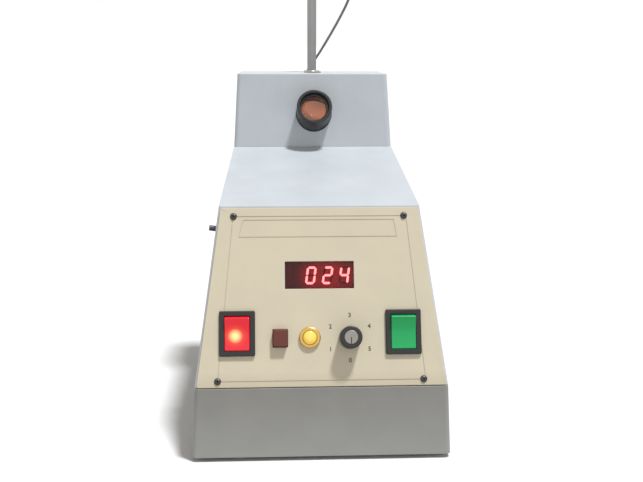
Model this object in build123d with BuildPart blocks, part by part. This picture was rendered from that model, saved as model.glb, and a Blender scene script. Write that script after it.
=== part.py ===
"""Melting point apparatus: bench instrument with a sloped control panel and a heated viewing head.

Millimetres, +X to the right seen from the front, +Y to the back, +Z up.
The origin is on the table, under the middle of the instrument.
"""
from build123d import *
from math import cos, pi, radians, sin, sqrt, tan
import os

os.makedirs("parts", exist_ok=True)

# Overall form
base_width = 185.6
head_run = 80.4
rear_reach = 9.0
foot_height = 3.0
base_height = 51.3
front_lean = 1.0
rear_lean = 1.0
panel_slope = 70.5
panel_length = 129.0
shelf_slope = 14.3
shelf_length = 123.5
head_height = 59.8
head_lean = 10.5
head_inset = 2.0
head_rear_lean = 3.0
plan_taper = 1.5
base_draft = 3.0
cover_draft = 7.5
head_draft = 2.8
wall = 2.5
corner_round = 3.5
edge_round = 2.0

# Control panel, measured from the middle of its bottom edge
panel_thickness = 2.0
panel_margin = 1.6
panel_middle = -0.7
panel_ledge = 9.0
panel_screw_inset = (15.7, 9.9)
panel_screw_rows = (5.2, 6.5)
panel_screw_hole = 3.2
switch_inset = 33.8
switch_rise = 38.6
bezel_size = (25.4, 32.0)
bezel_height = 2.2
switch_cut = (22.0, 30.0)
switch_depth = 24.0
rocker_size = (17.4, 24.2)
rocker_throw = 9.0
hold_place = (-28.6, 35.0)
hold_size = (10.2, 12.2)
hold_stand = 5.0
hold_travel = 2.5
indicator_place = (-7.6, 35.2)
indicator_outer = 15.4
indicator_lens_diameter = 9.6
knob_place = (20.9, 34.8)
knob_diameter = 15.9
knob_height = 13.0
knob_cap_diameter = 9.6
window_place = (-0.2, 79.8)
window_size = (49.4, 19.6)
digit_height = 12.7
digit_width = 7.0
digit_pitch = 12.0
digit_slant = 8.0
segment_width = 1.5

# Viewing head
head_x = 0.9
eyepiece_rise = 27.5
eyepiece_tilt = 25.0
eyepiece_diameter = 29.0
eyepiece_bore = 23.2
eyepiece_out = 16.0
eyepiece_in = 12.0
bush_wall = 2.5
probe_behind = 48.9
probe_diameter = 7.8
probe_above = 62.0
gland_diameter = 14.0
guide_gap = 15.0
capillary_bore = 2.2
capillary_pitch = 4.0
well_gap = 0.3
block_diameter = 32.0
block_height = 36.0
insulator_thickness = 4.0
bracket_thickness = 2.0
heater_diameter = 6.5
lead_diameter = 2.2

# Rear and inside
fan_size = 60.0
fan_depth = 15.0
fan_blades = 7
fan_z = 140.0
inlet_inset = 42.8
fuse_gap = 42.0
rear_fitting_z = 29.0
board_size = (96.0, 110.0)
board_thickness = 1.6
board_lift = 8.0
transformer_size = (58.0, 48.0, 36.0)

# Clearances
slide_gap = 0.3
running_gap = 0.06
press_gap = 0.02
hole_gap = 0.2

# How far the knob stands out in front of the base, and where the rear fittings end
knob_chamfer = 0.8
front_reach = (
    knob_height * sin(radians(panel_slope))
    + (knob_diameter / 2 - knob_chamfer - knob_place[1]) * cos(radians(panel_slope))
    - base_height * tan(radians(front_lean))
)
slope_run = base_height * tan(radians(front_lean)) + panel_length * cos(radians(panel_slope))
shelf_run = shelf_length * cos(radians(shelf_slope))
body_depth = slope_run + shelf_run + head_run
rear_end = body_depth + rear_reach - (rear_fitting_z - foot_height) * tan(radians(rear_lean))

# Stations of the side view, with the origin under the middle of the whole depth
front_y = (front_reach - rear_end) / 2
base_z = foot_height
seam_y = front_y + base_height * tan(radians(front_lean))
seam_z = base_z + base_height
brow_y = seam_y + panel_length * cos(radians(panel_slope))
brow_z = seam_z + panel_length * sin(radians(panel_slope))
shelf_y = brow_y + shelf_run
probe_y = shelf_y + probe_behind
inlet_x = base_width / 2 - inlet_inset
fuse_x = inlet_x - fuse_gap
switch_place = (base_width / 2 - switch_inset, switch_rise)
shelf_z = brow_z + shelf_length * sin(radians(shelf_slope))
head_top_y = shelf_y + head_height * tan(radians(head_lean))
head_top_z = shelf_z + head_height


def rear_y(z):
    """Depth of the outer rear face at a height."""
    return front_y + body_depth - (z - base_z) * tan(radians(rear_lean))


head_rear_y = rear_y(shelf_z) - head_inset


def half_width(y, z, half, start_z, draft):
    """Half the outer width where the sides lean in upwards and backwards."""
    return half - (y - front_y) * tan(radians(plan_taper)) - (z - start_z) * tan(radians(draft))


cover_half = half_width(front_y, seam_z, base_width / 2, base_z, base_draft)
head_half = half_width(front_y, shelf_z, cover_half, seam_z, cover_draft)


def housing(outline, half, start_z, draft, inset=0.0):
    """A block with this side view and leaning flat sides, all moved inwards by inset."""
    with BuildPart() as form:
        with BuildSketch(Plane.YZ):
            with BuildLine():
                Polyline(*outline, close=True)
            make_face()
            if inset:
                offset(amount=-inset, kind=Kind.INTERSECTION)
        extrude(amount=base_width, both=True)
        for side in (-1, 1):
            normal = Vector(side, tan(radians(plan_taper)), tan(radians(draft))).normalized()
            point = Vector(side * half, front_y, start_z) - normal * inset
            split(bisect_by=Plane(origin=point, z_dir=normal), keep=Keep.BOTTOM)
    return form.part


def upright(edge):
    """True for an edge that rises more than it runs."""
    return abs(edge.tangent_at(0.5).Z) > 0.8


def base_outline(top):
    """Side view of the base tray up to a height."""
    rise = top - base_z
    return [
        (front_y, base_z),
        (front_y + rise * tan(radians(front_lean)), top),
        (rear_y(top), top),
        (front_y + body_depth, base_z),
    ]


# The cover's slope lies one panel thickness behind the panel's face
slope_shift = panel_thickness / sin(radians(panel_slope))
brow_shift = panel_thickness / sin(radians(panel_slope - shelf_slope))


def cover_outline(bottom):
    """Side view of the housing cover down to a height."""
    drop = seam_z - bottom
    return [
        (seam_y + slope_shift - drop / tan(radians(panel_slope)), bottom),
        (
            brow_y + brow_shift * cos(radians(shelf_slope)),
            brow_z + brow_shift * sin(radians(shelf_slope)),
        ),
        (shelf_y, shelf_z),
        (rear_y(shelf_z), shelf_z),
        (rear_y(bottom), bottom),
    ]


def head_outline(bottom):
    """Side view of the head cover down to a height."""
    drop = shelf_z - bottom
    return [
        (shelf_y - drop * tan(radians(head_lean)), bottom),
        (head_top_y, head_top_z),
        (head_rear_y - head_height * tan(radians(head_rear_lean)), head_top_z),
        (head_rear_y + drop * tan(radians(head_rear_lean)), bottom),
    ]


# Working planes
panel_plane = Plane(
    origin=(panel_middle, seam_y, seam_z),
    x_dir=(1, 0, 0),
    z_dir=(0, -sin(radians(panel_slope)), cos(radians(panel_slope))),
)
panel_back = panel_plane.offset(-panel_thickness)
eyepiece_y = shelf_y + eyepiece_rise * tan(radians(head_lean))
eyepiece_z = shelf_z + eyepiece_rise
eyepiece_plane = Plane(
    origin=(head_x, eyepiece_y, eyepiece_z),
    x_dir=(1, 0, 0),
    z_dir=(0, -cos(radians(eyepiece_tilt)), sin(radians(eyepiece_tilt))),
)
head_face = Plane(
    origin=(head_x, eyepiece_y, eyepiece_z),
    x_dir=(1, 0, 0),
    z_dir=(0, -cos(radians(head_lean)), sin(radians(head_lean))),
)


def rear_plane(x, z):
    """Plane on the outer rear face, looking out of it, with its X to the left."""
    return Plane(
        origin=(x, rear_y(z), z),
        x_dir=(-1, 0, 0),
        z_dir=(0, cos(radians(rear_lean)), sin(radians(rear_lean))),
    )


# Feet and the long case screws that pass through them
foot_diameter = 15.0
foot_inset = 16.0
foot_round = 0.6
case_screw_diameter = 4.0
case_screw_head = 7.5
case_screw_recess = 0.5
screw_head_top = 2.2
case_post_radius = 5.0
case_block = 6.5
case_block_height = 14.0
foot_places = []
for foot_y in (front_y + foot_inset, front_y + body_depth - foot_inset):
    foot_x = half_width(foot_y, base_z, base_width / 2, base_z, base_draft) - foot_inset
    foot_places += [(-foot_x, foot_y), (foot_x, foot_y)]

with BuildPart() as rubber_feet:
    with BuildSketch():
        with Locations(*foot_places):
            Circle(foot_diameter / 2)
    extrude(amount=foot_height)
    fillet(rubber_feet.edges().group_by(Axis.Z)[0], foot_round)
    with BuildSketch(Plane.XY.offset(screw_head_top)):
        with Locations(*foot_places):
            Circle(case_screw_head / 2 + press_gap)
    extrude(amount=-screw_head_top, mode=Mode.SUBTRACT)
    with BuildSketch(Plane.XY.offset(foot_height)):
        with Locations(*foot_places):
            Circle(case_screw_diameter / 2 + press_gap)
    extrude(amount=-foot_height, mode=Mode.SUBTRACT)

with BuildPart() as case_screws:
    with BuildSketch(Plane.XY.offset(case_screw_recess)):
        with Locations(*foot_places):
            Circle(case_screw_head / 2)
    extrude(amount=screw_head_top - case_screw_recess)
    with BuildSketch(Plane.XY.offset(screw_head_top)):
        with Locations(*foot_places):
            Circle(case_screw_diameter / 2)
    extrude(amount=seam_z + case_block_height - wall - screw_head_top)
    with BuildSketch(Plane.XY.offset(case_screw_recess)):
        with Locations(*foot_places):
            Rectangle(4.4, 1.0)
            Rectangle(1.0, 4.4)
    extrude(amount=1.0, mode=Mode.SUBTRACT)

# Base tray: an open box with posts for the case screws and slots for cooling air
with BuildPart() as tray_core:
    add(housing(base_outline(seam_z + 2 * wall), base_width / 2, base_z, base_draft, wall))
    with BuildSketch(Plane.XY.offset(base_z)):
        with Locations(*foot_places):
            Circle(case_post_radius)
    extrude(amount=base_height, mode=Mode.SUBTRACT)

floor_z = base_z + wall
slot_width = 4.0
slot_length = 46.0
slot_pitch = 9.0
inlet_hole = (27.4, 20.4)
fuse_hole_radius = 6.3

with BuildPart() as base_tray:
    add(housing(base_outline(seam_z), base_width / 2, base_z, base_draft))
    fillet(base_tray.edges().filter_by(upright), corner_round)
    add(tray_core.part, mode=Mode.SUBTRACT)
    with BuildSketch(Plane.XY.offset(base_z)):
        with Locations(*foot_places):
            Circle(case_screw_diameter / 2 + hole_gap)
    extrude(amount=base_height, mode=Mode.SUBTRACT)
    with BuildSketch(Plane.XY.offset(base_z)):
        with Locations((0, front_y + 46)):
            with GridLocations(slot_pitch, 0, 7, 1):
                SlotOverall(slot_length, slot_width, rotation=90)
    extrude(amount=wall, mode=Mode.SUBTRACT)
    with BuildSketch(rear_plane(inlet_x, rear_fitting_z)):
        Rectangle(*inlet_hole)
    extrude(amount=-2 * wall, mode=Mode.SUBTRACT)
    with BuildSketch(rear_plane(fuse_x, rear_fitting_z)):
        Circle(fuse_hole_radius)
    extrude(amount=-2 * wall, mode=Mode.SUBTRACT)

# Housing cover: slope, shelf and rear wall in one shell, open below
panel_low_half = half_width(seam_y, seam_z, cover_half, seam_z, cover_draft) - panel_margin
panel_high_half = half_width(brow_y, brow_z, cover_half, seam_z, cover_draft) - panel_margin
panel_screw_low = (panel_low_half - panel_screw_inset[0], panel_screw_rows[0])
panel_screw_high = (panel_high_half - panel_screw_inset[1], panel_length - panel_screw_rows[1])
opening_low = panel_screw_low[1] + panel_ledge
opening_high = panel_screw_high[1] - panel_ledge
panel_rim = 8.5
panel_narrowing = (panel_low_half - panel_high_half) / panel_length
opening_low_half = panel_low_half - opening_low * panel_narrowing - panel_rim
opening_high_half = panel_low_half - opening_high * panel_narrowing - panel_rim
vent_width = 3.0
vent_height = 24.0
vent_pitch = 7.0
fan_hole_radius = 27.0
fan_screw_pitch = 50.0
fan_screw_radius = 2.0
head_opening = (62.0, 40.0)
block_y = probe_y - 5.5
head_screw_places = []
for screw_y in (shelf_y + 14.0, head_rear_y - 12.0):
    screw_x = half_width(screw_y, shelf_z, head_half, shelf_z, head_draft) - 10.0
    head_screw_places += [(-screw_x, screw_y), (screw_x, screw_y)]
head_screw_diameter = 3.0
side_screw_y = front_y + 75.0
side_screw_z = base_z + 151.3
side_screw_diameter = 3.0
side_screw_head = 4.2
side_screw_stand = 7.0
side_lean = Vector(-1, tan(radians(plan_taper)), tan(radians(cover_draft))).normalized()
side_screw_plane = Plane(
    origin=(
        -half_width(side_screw_y, side_screw_z, cover_half, seam_z, cover_draft),
        side_screw_y,
        side_screw_z,
    ),
    x_dir=(0, 0, 1),
    z_dir=side_lean,
)

with BuildPart() as cover_core:
    add(housing(cover_outline(seam_z - 2 * wall), cover_half, seam_z, cover_draft, wall))
    for x, y in foot_places:
        side = 1 if x > 0 else -1
        end = 1 if y > 0 else -1
        with BuildSketch(Plane.XY.offset(seam_z)):
            with Locations((x + side * foot_inset / 2, y + end * foot_inset / 2)):
                Rectangle(2 * case_block + foot_inset, 2 * case_block + foot_inset)
        extrude(amount=case_block_height, mode=Mode.SUBTRACT)

with BuildPart() as housing_cover:
    add(housing(cover_outline(seam_z), cover_half, seam_z, cover_draft))
    fillet(housing_cover.edges().filter_by(upright), edge_round)
    add(cover_core.part, mode=Mode.SUBTRACT)
    with BuildSketch(Plane.XY.offset(seam_z)):
        with Locations(*foot_places):
            Circle(case_screw_diameter / 2 + press_gap)
    extrude(amount=case_block_height - wall, mode=Mode.SUBTRACT)
    with BuildSketch(panel_back):
        with BuildLine():
            Polyline(
                (-opening_low_half, opening_low),
                (opening_low_half, opening_low),
                (opening_high_half, opening_high),
                (-opening_high_half, opening_high),
                close=True,
            )
        make_face()
    extrude(amount=-3 * wall, mode=Mode.SUBTRACT)
    with BuildSketch(panel_back):
        for half, rise in (panel_screw_low, panel_screw_high):
            with Locations((-half, rise), (half, rise)):
                Circle(panel_screw_hole / 2 - hole_gap)
    extrude(amount=-3 * wall, mode=Mode.SUBTRACT)
    with BuildSketch(Plane.XY.offset(shelf_z)):
        with Locations((head_x, block_y)):
            Rectangle(*head_opening)
        with Locations(*head_screw_places):
            Circle(head_screw_diameter / 2 + hole_gap)
    extrude(amount=-2 * wall, mode=Mode.SUBTRACT)
    with BuildSketch(rear_plane(0, fan_z)):
        Circle(fan_hole_radius)
        with GridLocations(fan_screw_pitch, fan_screw_pitch, 2, 2):
            Circle(fan_screw_radius + hole_gap)
    extrude(amount=-2 * wall, mode=Mode.SUBTRACT)
    with BuildSketch(rear_plane(0, seam_z + 25)):
        with GridLocations(vent_pitch, 0, 15, 1):
            SlotOverall(vent_height, vent_width, rotation=90)
    extrude(amount=-2 * wall, mode=Mode.SUBTRACT)
    with BuildSketch(side_screw_plane):
        Circle(side_screw_diameter / 2 + hole_gap)
    extrude(amount=-2 * wall, mode=Mode.SUBTRACT)

with BuildPart() as side_screw:
    with BuildSketch(side_screw_plane):
        Circle(side_screw_head / 2)
    extrude(amount=side_screw_stand)
    chamfer(side_screw.faces().sort_by(Axis.X)[0].edges(), 0.5)
    with BuildSketch(side_screw_plane.offset(side_screw_stand)):
        Rectangle(0.8, side_screw_head)
    extrude(amount=-0.9, mode=Mode.SUBTRACT)
    with BuildSketch(side_screw_plane):
        Circle(side_screw_diameter / 2)
    extrude(amount=-wall - 3.0)
    with BuildSketch(side_screw_plane.offset(-wall)):
        RegularPolygon(2.9, 6)
    extrude(amount=-2.4)

# Head cover: a leaning box open below, with blocks for its screws
head_block = 6.0
head_block_height = 9.0
head_wall_hole = eyepiece_diameter / 2 + slide_gap
guide_y = probe_y - guide_gap
guide_radius = 6.6
guide_flange_radius = 7.2
guide_flange_thickness = 0.8
gland_thread_radius = 5.0
grommet_x = head_x - 14.9
grommet_z = shelf_z + 30.0
grommet_hole_radius = 3.2
head_vent_pitch = 7.0
head_vent_height = 14.0
head_vent_rise = 14.0


def head_rear_plane(x, z):
    """Plane on the outer rear face of the head cover, looking out of it."""
    lean = radians(head_rear_lean)
    return Plane(
        origin=(x, head_rear_y - (z - shelf_z) * tan(lean), z),
        x_dir=(-1, 0, 0),
        z_dir=(0, cos(lean), sin(lean)),
    )


with BuildPart() as head_core:
    add(housing(head_outline(shelf_z - 2 * wall), head_half, shelf_z, head_draft, wall))
    for x, y in head_screw_places:
        side = 1 if x > 0 else -1
        end = 1 if y > block_y else -1
        with BuildSketch(Plane.XY.offset(shelf_z)):
            with Locations((x + side * head_block, y + end * head_block)):
                Rectangle(4 * head_block - 2, 4 * head_block - 2)
        extrude(amount=head_block_height, mode=Mode.SUBTRACT)

with BuildPart() as head_cover:
    add(housing(head_outline(shelf_z), head_half, shelf_z, head_draft))
    fillet(head_cover.edges().filter_by(upright), corner_round)
    fillet(head_cover.faces().sort_by(Axis.Z)[-1].edges(), edge_round / 2)
    add(head_core.part, mode=Mode.SUBTRACT)
    with BuildSketch(Plane.XY.offset(shelf_z)):
        with Locations(*head_screw_places):
            Circle(head_screw_diameter / 2 + press_gap)
    extrude(amount=head_block_height - 2, mode=Mode.SUBTRACT)
    with BuildSketch(eyepiece_plane):
        Circle(head_wall_hole)
    extrude(amount=eyepiece_in, both=True, mode=Mode.SUBTRACT)
    with BuildSketch(Plane.XY.offset(head_top_z)):
        with Locations((head_x, guide_y)):
            Circle(guide_radius + hole_gap)
        with Locations((head_x, probe_y)):
            Circle(gland_thread_radius + hole_gap)
    extrude(amount=-2 * wall, mode=Mode.SUBTRACT)
    with BuildSketch(head_rear_plane(grommet_x, grommet_z)):
        Circle(grommet_hole_radius)
    extrude(amount=-2 * wall, mode=Mode.SUBTRACT)
    with BuildSketch(head_rear_plane(0, shelf_z + head_vent_rise)):
        with GridLocations(head_vent_pitch, 0, 11, 1):
            SlotOverall(head_vent_height, vent_width, rotation=90)
    extrude(amount=-2 * wall, mode=Mode.SUBTRACT)

head_screw_head = 5.6
with BuildPart() as head_screws:
    with BuildSketch(Plane.XY.offset(shelf_z - wall)):
        with Locations(*head_screw_places):
            Circle(head_screw_head / 2)
    extrude(amount=-2.2)
    with BuildSketch(Plane.XY.offset(shelf_z - wall)):
        with Locations(*head_screw_places):
            Circle(head_screw_diameter / 2)
    extrude(amount=wall + head_block_height - 3)

# Front panel plate with the holes of its controls
panel_low_edge = panel_thickness / tan(radians(panel_slope)) + 0.1
hold_fit = (hold_size[0] + 2 * slide_gap, hold_size[1] + 2 * slide_gap)
indicator_barrel = 11.8
knob_bush_diameter = 7.0

with BuildPart() as front_panel:
    with BuildSketch(panel_plane):
        with BuildLine():
            Polyline(
                (-panel_low_half - panel_middle, panel_low_edge),
                (panel_low_half - panel_middle, panel_low_edge),
                (panel_high_half - panel_middle, panel_length - 0.3),
                (-panel_high_half - panel_middle, panel_length - 0.3),
                close=True,
            )
        make_face()
        fillet(vertices(), 1.5)
        for side in (-1, 1):
            with Locations((side * switch_place[0], switch_place[1])):
                Rectangle(*switch_cut, mode=Mode.SUBTRACT)
        with Locations(hold_place):
            Rectangle(*hold_fit, mode=Mode.SUBTRACT)
        with Locations(indicator_place):
            Circle(indicator_barrel / 2 + hole_gap, mode=Mode.SUBTRACT)
        with Locations(knob_place):
            Circle(knob_bush_diameter / 2 + hole_gap, mode=Mode.SUBTRACT)
        with Locations(window_place):
            Rectangle(*window_size, mode=Mode.SUBTRACT)
        for half, rise in (panel_screw_low, panel_screw_high):
            with Locations((-half, rise), (half, rise)):
                Circle(panel_screw_hole / 2, mode=Mode.SUBTRACT)
    extrude(amount=-panel_thickness)

panel_screw_head = 5.0
panel_screw_rise = 1.6
panel_screw_length = 9.0
with BuildPart() as panel_screws:
    with BuildSketch(panel_plane):
        for half, rise in (panel_screw_low, panel_screw_high):
            with Locations((-half, rise), (half, rise)):
                Circle(panel_screw_head / 2)
    extrude(amount=panel_screw_rise, taper=20)
    with BuildSketch(panel_plane.offset(panel_screw_rise)):
        for half, rise in (panel_screw_low, panel_screw_high):
            with Locations((-half, rise), (half, rise)):
                Rectangle(2.4, 0.6)
                Rectangle(0.6, 2.4)
    extrude(amount=-0.9, mode=Mode.SUBTRACT)
    with BuildSketch(panel_plane):
        for half, rise in (panel_screw_low, panel_screw_high):
            with Locations((-half, rise), (half, rise)):
                Circle(panel_screw_hole / 2 - hole_gap - press_gap)
    extrude(amount=-panel_screw_length)

# Display: red window, four digit module with raised segments, board and spacers
window_gap = 0.15
window_flange = 4.0
window_flange_thickness = 1.5
window_sink = 0.3
module_depth = 8.0
module_gap = 0.2
segment_height = 0.15
window_back = panel_thickness + window_flange_thickness
module_front = window_back + module_gap
display_board_front = module_front + module_depth
display_board_size = (104.0, 34.0)
spacer_place = (45.0, 12.0)
spacer_diameter = 5.5

with BuildPart() as display_window:
    with BuildSketch(panel_plane.offset(-window_sink)):
        with Locations(window_place):
            Rectangle(window_size[0] - 2 * window_gap, window_size[1] - 2 * window_gap)
    extrude(amount=window_sink - panel_thickness)
    with BuildSketch(panel_back):
        with Locations(window_place):
            Rectangle(window_size[0] + window_flange, window_size[1] + window_flange)
    extrude(amount=-window_flange_thickness)

with BuildPart() as display_module:
    with BuildSketch(panel_plane.offset(-module_front)):
        with Locations(window_place):
            Rectangle(4 * digit_pitch + 2, window_size[1] - 1)
    extrude(amount=-module_depth)


def segment(across, along, start, upright_segment):
    """One bar of a digit as a pointed strip, centred at across, along."""
    reach = start / 2
    half = segment_width / 2
    if upright_segment:
        ends = [(0, reach), (half, reach - half), (half, half - reach), (0, -reach)]
        ends += [(-half, half - reach), (-half, reach - half)]
    else:
        ends = [(reach, 0), (reach - half, half), (half - reach, half), (-reach, 0)]
        ends += [(half - reach, -half), (reach - half, -half)]
    slant = tan(radians(digit_slant))
    return [(across + x + (along + y) * slant, along + y) for x, y in ends]


# Where the seven bars of a digit lie and how long they are
bar_across = digit_width / 2 - segment_width / 2
bar_along = digit_height / 2 - segment_width / 2
bar_gap = 0.25
flat_bar = digit_width - segment_width - bar_gap
tall_bar = (digit_height - segment_width) / 2 - bar_gap
digit_bars = [
    (0, bar_along, flat_bar, False),
    (0, 0, flat_bar, False),
    (0, -bar_along, flat_bar, False),
    (bar_across, bar_along / 2, tall_bar, True),
    (bar_across, -bar_along / 2, tall_bar, True),
    (-bar_across, bar_along / 2, tall_bar, True),
    (-bar_across, -bar_along / 2, tall_bar, True),
]
digit_centres = [window_place[0] + digit_pitch * (place - 1.5) for place in range(4)]

with BuildPart() as display_digits:
    with BuildSketch(panel_plane.offset(-module_front)):
        for centre in digit_centres:
            for across, along, reach, stands in digit_bars:
                with BuildLine():
                    Polyline(*[(centre + x, window_place[1] + y)
                               for x, y in segment(across, along, reach, stands)], close=True)
                make_face()
    extrude(amount=segment_height)

with BuildPart() as display_board:
    with BuildSketch(panel_plane.offset(-display_board_front)):
        with Locations(window_place):
            Rectangle(*display_board_size)
            with GridLocations(2 * spacer_place[0], 2 * spacer_place[1], 2, 2):
                Circle(1.6, mode=Mode.SUBTRACT)
    extrude(amount=-board_thickness)

with BuildPart() as display_spacers:
    with BuildSketch(panel_back):
        with Locations(window_place):
            with GridLocations(2 * spacer_place[0], 2 * spacer_place[1], 2, 2):
                Circle(spacer_diameter / 2)
    extrude(amount=panel_thickness - display_board_front)
    with BuildSketch(panel_plane.offset(-display_board_front)):
        with Locations(window_place):
            with GridLocations(2 * spacer_place[0], 2 * spacer_place[1], 2, 2):
                Circle(1.4)
    extrude(amount=-board_thickness - 1.5)

# Rocker switches: each body with its bezel and blades, and a rocker on two pins
rocker_gap = 0.4
rocker_end_radius = rocker_size[1] / 2
well_half = (rocker_size[0] / 2 + slide_gap, rocker_end_radius + rocker_gap)
well_depth = 8.5
body_gap = 0.3
pin_radius = 1.0
pin_reach = 1.4
pivot_rise = 0.4
rocker_crown = 2.4
rocker_end_angle = 20.0
rocker_keel_angle = 14.0
rocker_keel = 5.0
blade_size = (4.8, 0.8)
blade_length = 8.0


def turned(plane, angle):
    """The plane turned about its own normal."""
    x_dir = plane.x_dir * cos(radians(angle)) + plane.y_dir * sin(radians(angle))
    return Plane(origin=plane.origin, x_dir=x_dir, z_dir=plane.z_dir)


def switch_plane(side):
    """Panel plane moved to the pivot of the switch on one side."""
    return Plane(
        origin=panel_plane.from_local_coords((side * switch_place[0], switch_place[1], 0)),
        x_dir=panel_plane.x_dir,
        z_dir=panel_plane.z_dir,
    )


def switch_body(place):
    """Fixed body of a rocker switch with its bezel, well, pin sockets and blades."""
    with BuildPart() as body:
        with BuildSketch(place):
            RectangleRounded(*bezel_size, 1.2)
        extrude(amount=bezel_height)
        chamfer(body.faces().sort_by(Axis.Y)[0].edges(), 0.5)
        with BuildSketch(place):
            Rectangle(switch_cut[0] - 2 * body_gap, switch_cut[1] - 2 * body_gap)
        extrude(amount=-switch_depth)
        with BuildSketch(place.offset(bezel_height)):
            Rectangle(2 * well_half[0], 2 * well_half[1])
        extrude(amount=-bezel_height - well_depth, mode=Mode.SUBTRACT)
        with BuildSketch(place.offset(-switch_depth)):
            with GridLocations(9.0, 7.5, 2, 3):
                Rectangle(blade_size[1], blade_size[0])
        extrude(amount=-blade_length)
        pivot = Plane(
            origin=place.from_local_coords((0, 0, pivot_rise)),
            x_dir=place.y_dir,
            z_dir=place.x_dir,
        )
        with BuildSketch(pivot):
            Circle(pin_radius + running_gap)
        extrude(amount=rocker_size[0] / 2 + pin_reach + 0.2, both=True, mode=Mode.SUBTRACT)
    return body.part


def switch_rocker(place):
    """Rocker with a shallow V top, round ends about its pivot and two pins, lower end pressed in."""
    side_view = Plane(
        origin=place.from_local_coords((0, 0, pivot_rise)),
        x_dir=place.y_dir,
        z_dir=place.x_dir,
    )
    radius = rocker_end_radius
    top = radians(rocker_end_angle)
    keel = radians(rocker_keel_angle)
    with BuildPart() as rocker:
        with BuildSketch(turned(side_view, rocker_throw)):
            with BuildLine():
                Polyline(
                    (-radius * cos(top), radius * sin(top)),
                    (0, rocker_crown),
                    (radius * cos(top), radius * sin(top)),
                )
                ThreePointArc(
                    (radius * cos(top), radius * sin(top)),
                    (radius, 0),
                    (radius * cos(keel), -radius * sin(keel)),
                )
                Polyline(
                    (radius * cos(keel), -radius * sin(keel)),
                    (rocker_keel, -rocker_keel),
                    (-rocker_keel, -rocker_keel),
                    (-radius * cos(keel), -radius * sin(keel)),
                )
                ThreePointArc(
                    (-radius * cos(keel), -radius * sin(keel)),
                    (-radius, 0),
                    (-radius * cos(top), radius * sin(top)),
                )
            make_face()
        extrude(amount=rocker_size[0] / 2, both=True)
        with BuildSketch(side_view):
            Circle(pin_radius)
        extrude(amount=rocker_size[0] / 2 + pin_reach, both=True)
    return rocker.part


with BuildPart() as mains_switch_body:
    add(switch_body(switch_plane(-1)))
with BuildPart() as fan_switch_body:
    add(switch_body(switch_plane(1)))
with BuildPart() as mains_rocker:
    add(switch_rocker(switch_plane(-1)))
with BuildPart() as fan_rocker:
    add(switch_rocker(switch_plane(1)))

# Hold push button: body behind the panel and a square cap on a stem
hold_body_depth = 12.0
hold_body_size = (15.0, 17.0)
hold_stem = 4.0
hold_skirt = 3.4
with BuildPart() as hold_button_body:
    with BuildSketch(panel_back):
        with Locations(hold_place):
            Rectangle(*hold_body_size)
    extrude(amount=-hold_body_depth)
    with BuildSketch(panel_back):
        with Locations(hold_place):
            Rectangle(*hold_fit)
    extrude(amount=-hold_skirt - hold_travel - slide_gap, mode=Mode.SUBTRACT)
    with BuildSketch(panel_back):
        with Locations(hold_place):
            Circle(hold_stem / 2 + running_gap)
    extrude(amount=2 - hold_body_depth, mode=Mode.SUBTRACT)
    with BuildSketch(panel_back.offset(-hold_body_depth)):
        with Locations(hold_place):
            with GridLocations(6.0, 8.0, 2, 2):
                Rectangle(0.8, 1.6)
    extrude(amount=-4.0)

with BuildPart() as hold_button:
    with BuildSketch(panel_back.offset(-hold_skirt)):
        with Locations(hold_place):
            RectangleRounded(*hold_size, 1.2)
    extrude(amount=hold_skirt + panel_thickness + hold_stand)
    fillet(hold_button.faces().sort_by(Axis.Y)[0].edges(), 0.8)
    with BuildSketch(panel_back.offset(-hold_skirt)):
        with Locations(hold_place):
            Circle(hold_stem / 2)
    extrude(amount=hold_skirt + hold_travel + slide_gap - hold_body_depth + 2)

# Indicator lamp: golden bezel with its barrel and nut, and a domed lens
indicator_rim = 2.4
indicator_length = 16.0
indicator_nut = (17.0, 2.5)
lens_rise = 2.2
indicator_plane = Plane(
    origin=panel_plane.from_local_coords((*indicator_place, 0)),
    x_dir=panel_plane.x_dir,
    z_dir=panel_plane.z_dir,
)
with BuildPart() as indicator_bezel:
    with BuildSketch(indicator_plane):
        Circle(indicator_outer / 2)
    extrude(amount=indicator_rim)
    fillet(indicator_bezel.faces().sort_by(Axis.Y)[0].edges(), 1.2)
    with BuildSketch(indicator_plane):
        Circle(indicator_barrel / 2)
    extrude(amount=-indicator_length)
    with BuildSketch(indicator_plane.offset(indicator_rim)):
        Circle(indicator_lens_diameter / 2 + hole_gap)
    extrude(amount=-indicator_rim - 6.0, mode=Mode.SUBTRACT)
    with BuildSketch(indicator_plane.offset(-indicator_length)):
        with GridLocations(5.0, 0, 2, 1):
            Rectangle(0.8, 2.8)
    extrude(amount=-6.0)

with BuildPart() as indicator_nut_ring:
    with BuildSketch(indicator_plane.offset(-panel_thickness)):
        RegularPolygon(indicator_nut[0] / 2, 6)
        Circle(indicator_barrel / 2 + press_gap, mode=Mode.SUBTRACT)
    extrude(amount=-indicator_nut[1])

with BuildPart() as indicator_lens:
    with BuildSketch(indicator_plane.offset(-6.0)):
        Circle(indicator_lens_diameter / 2)
    extrude(amount=6.0 + indicator_rim + lens_rise)
    fillet(indicator_lens.faces().sort_by(Axis.Y)[0].edges(), 2.0)

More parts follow.
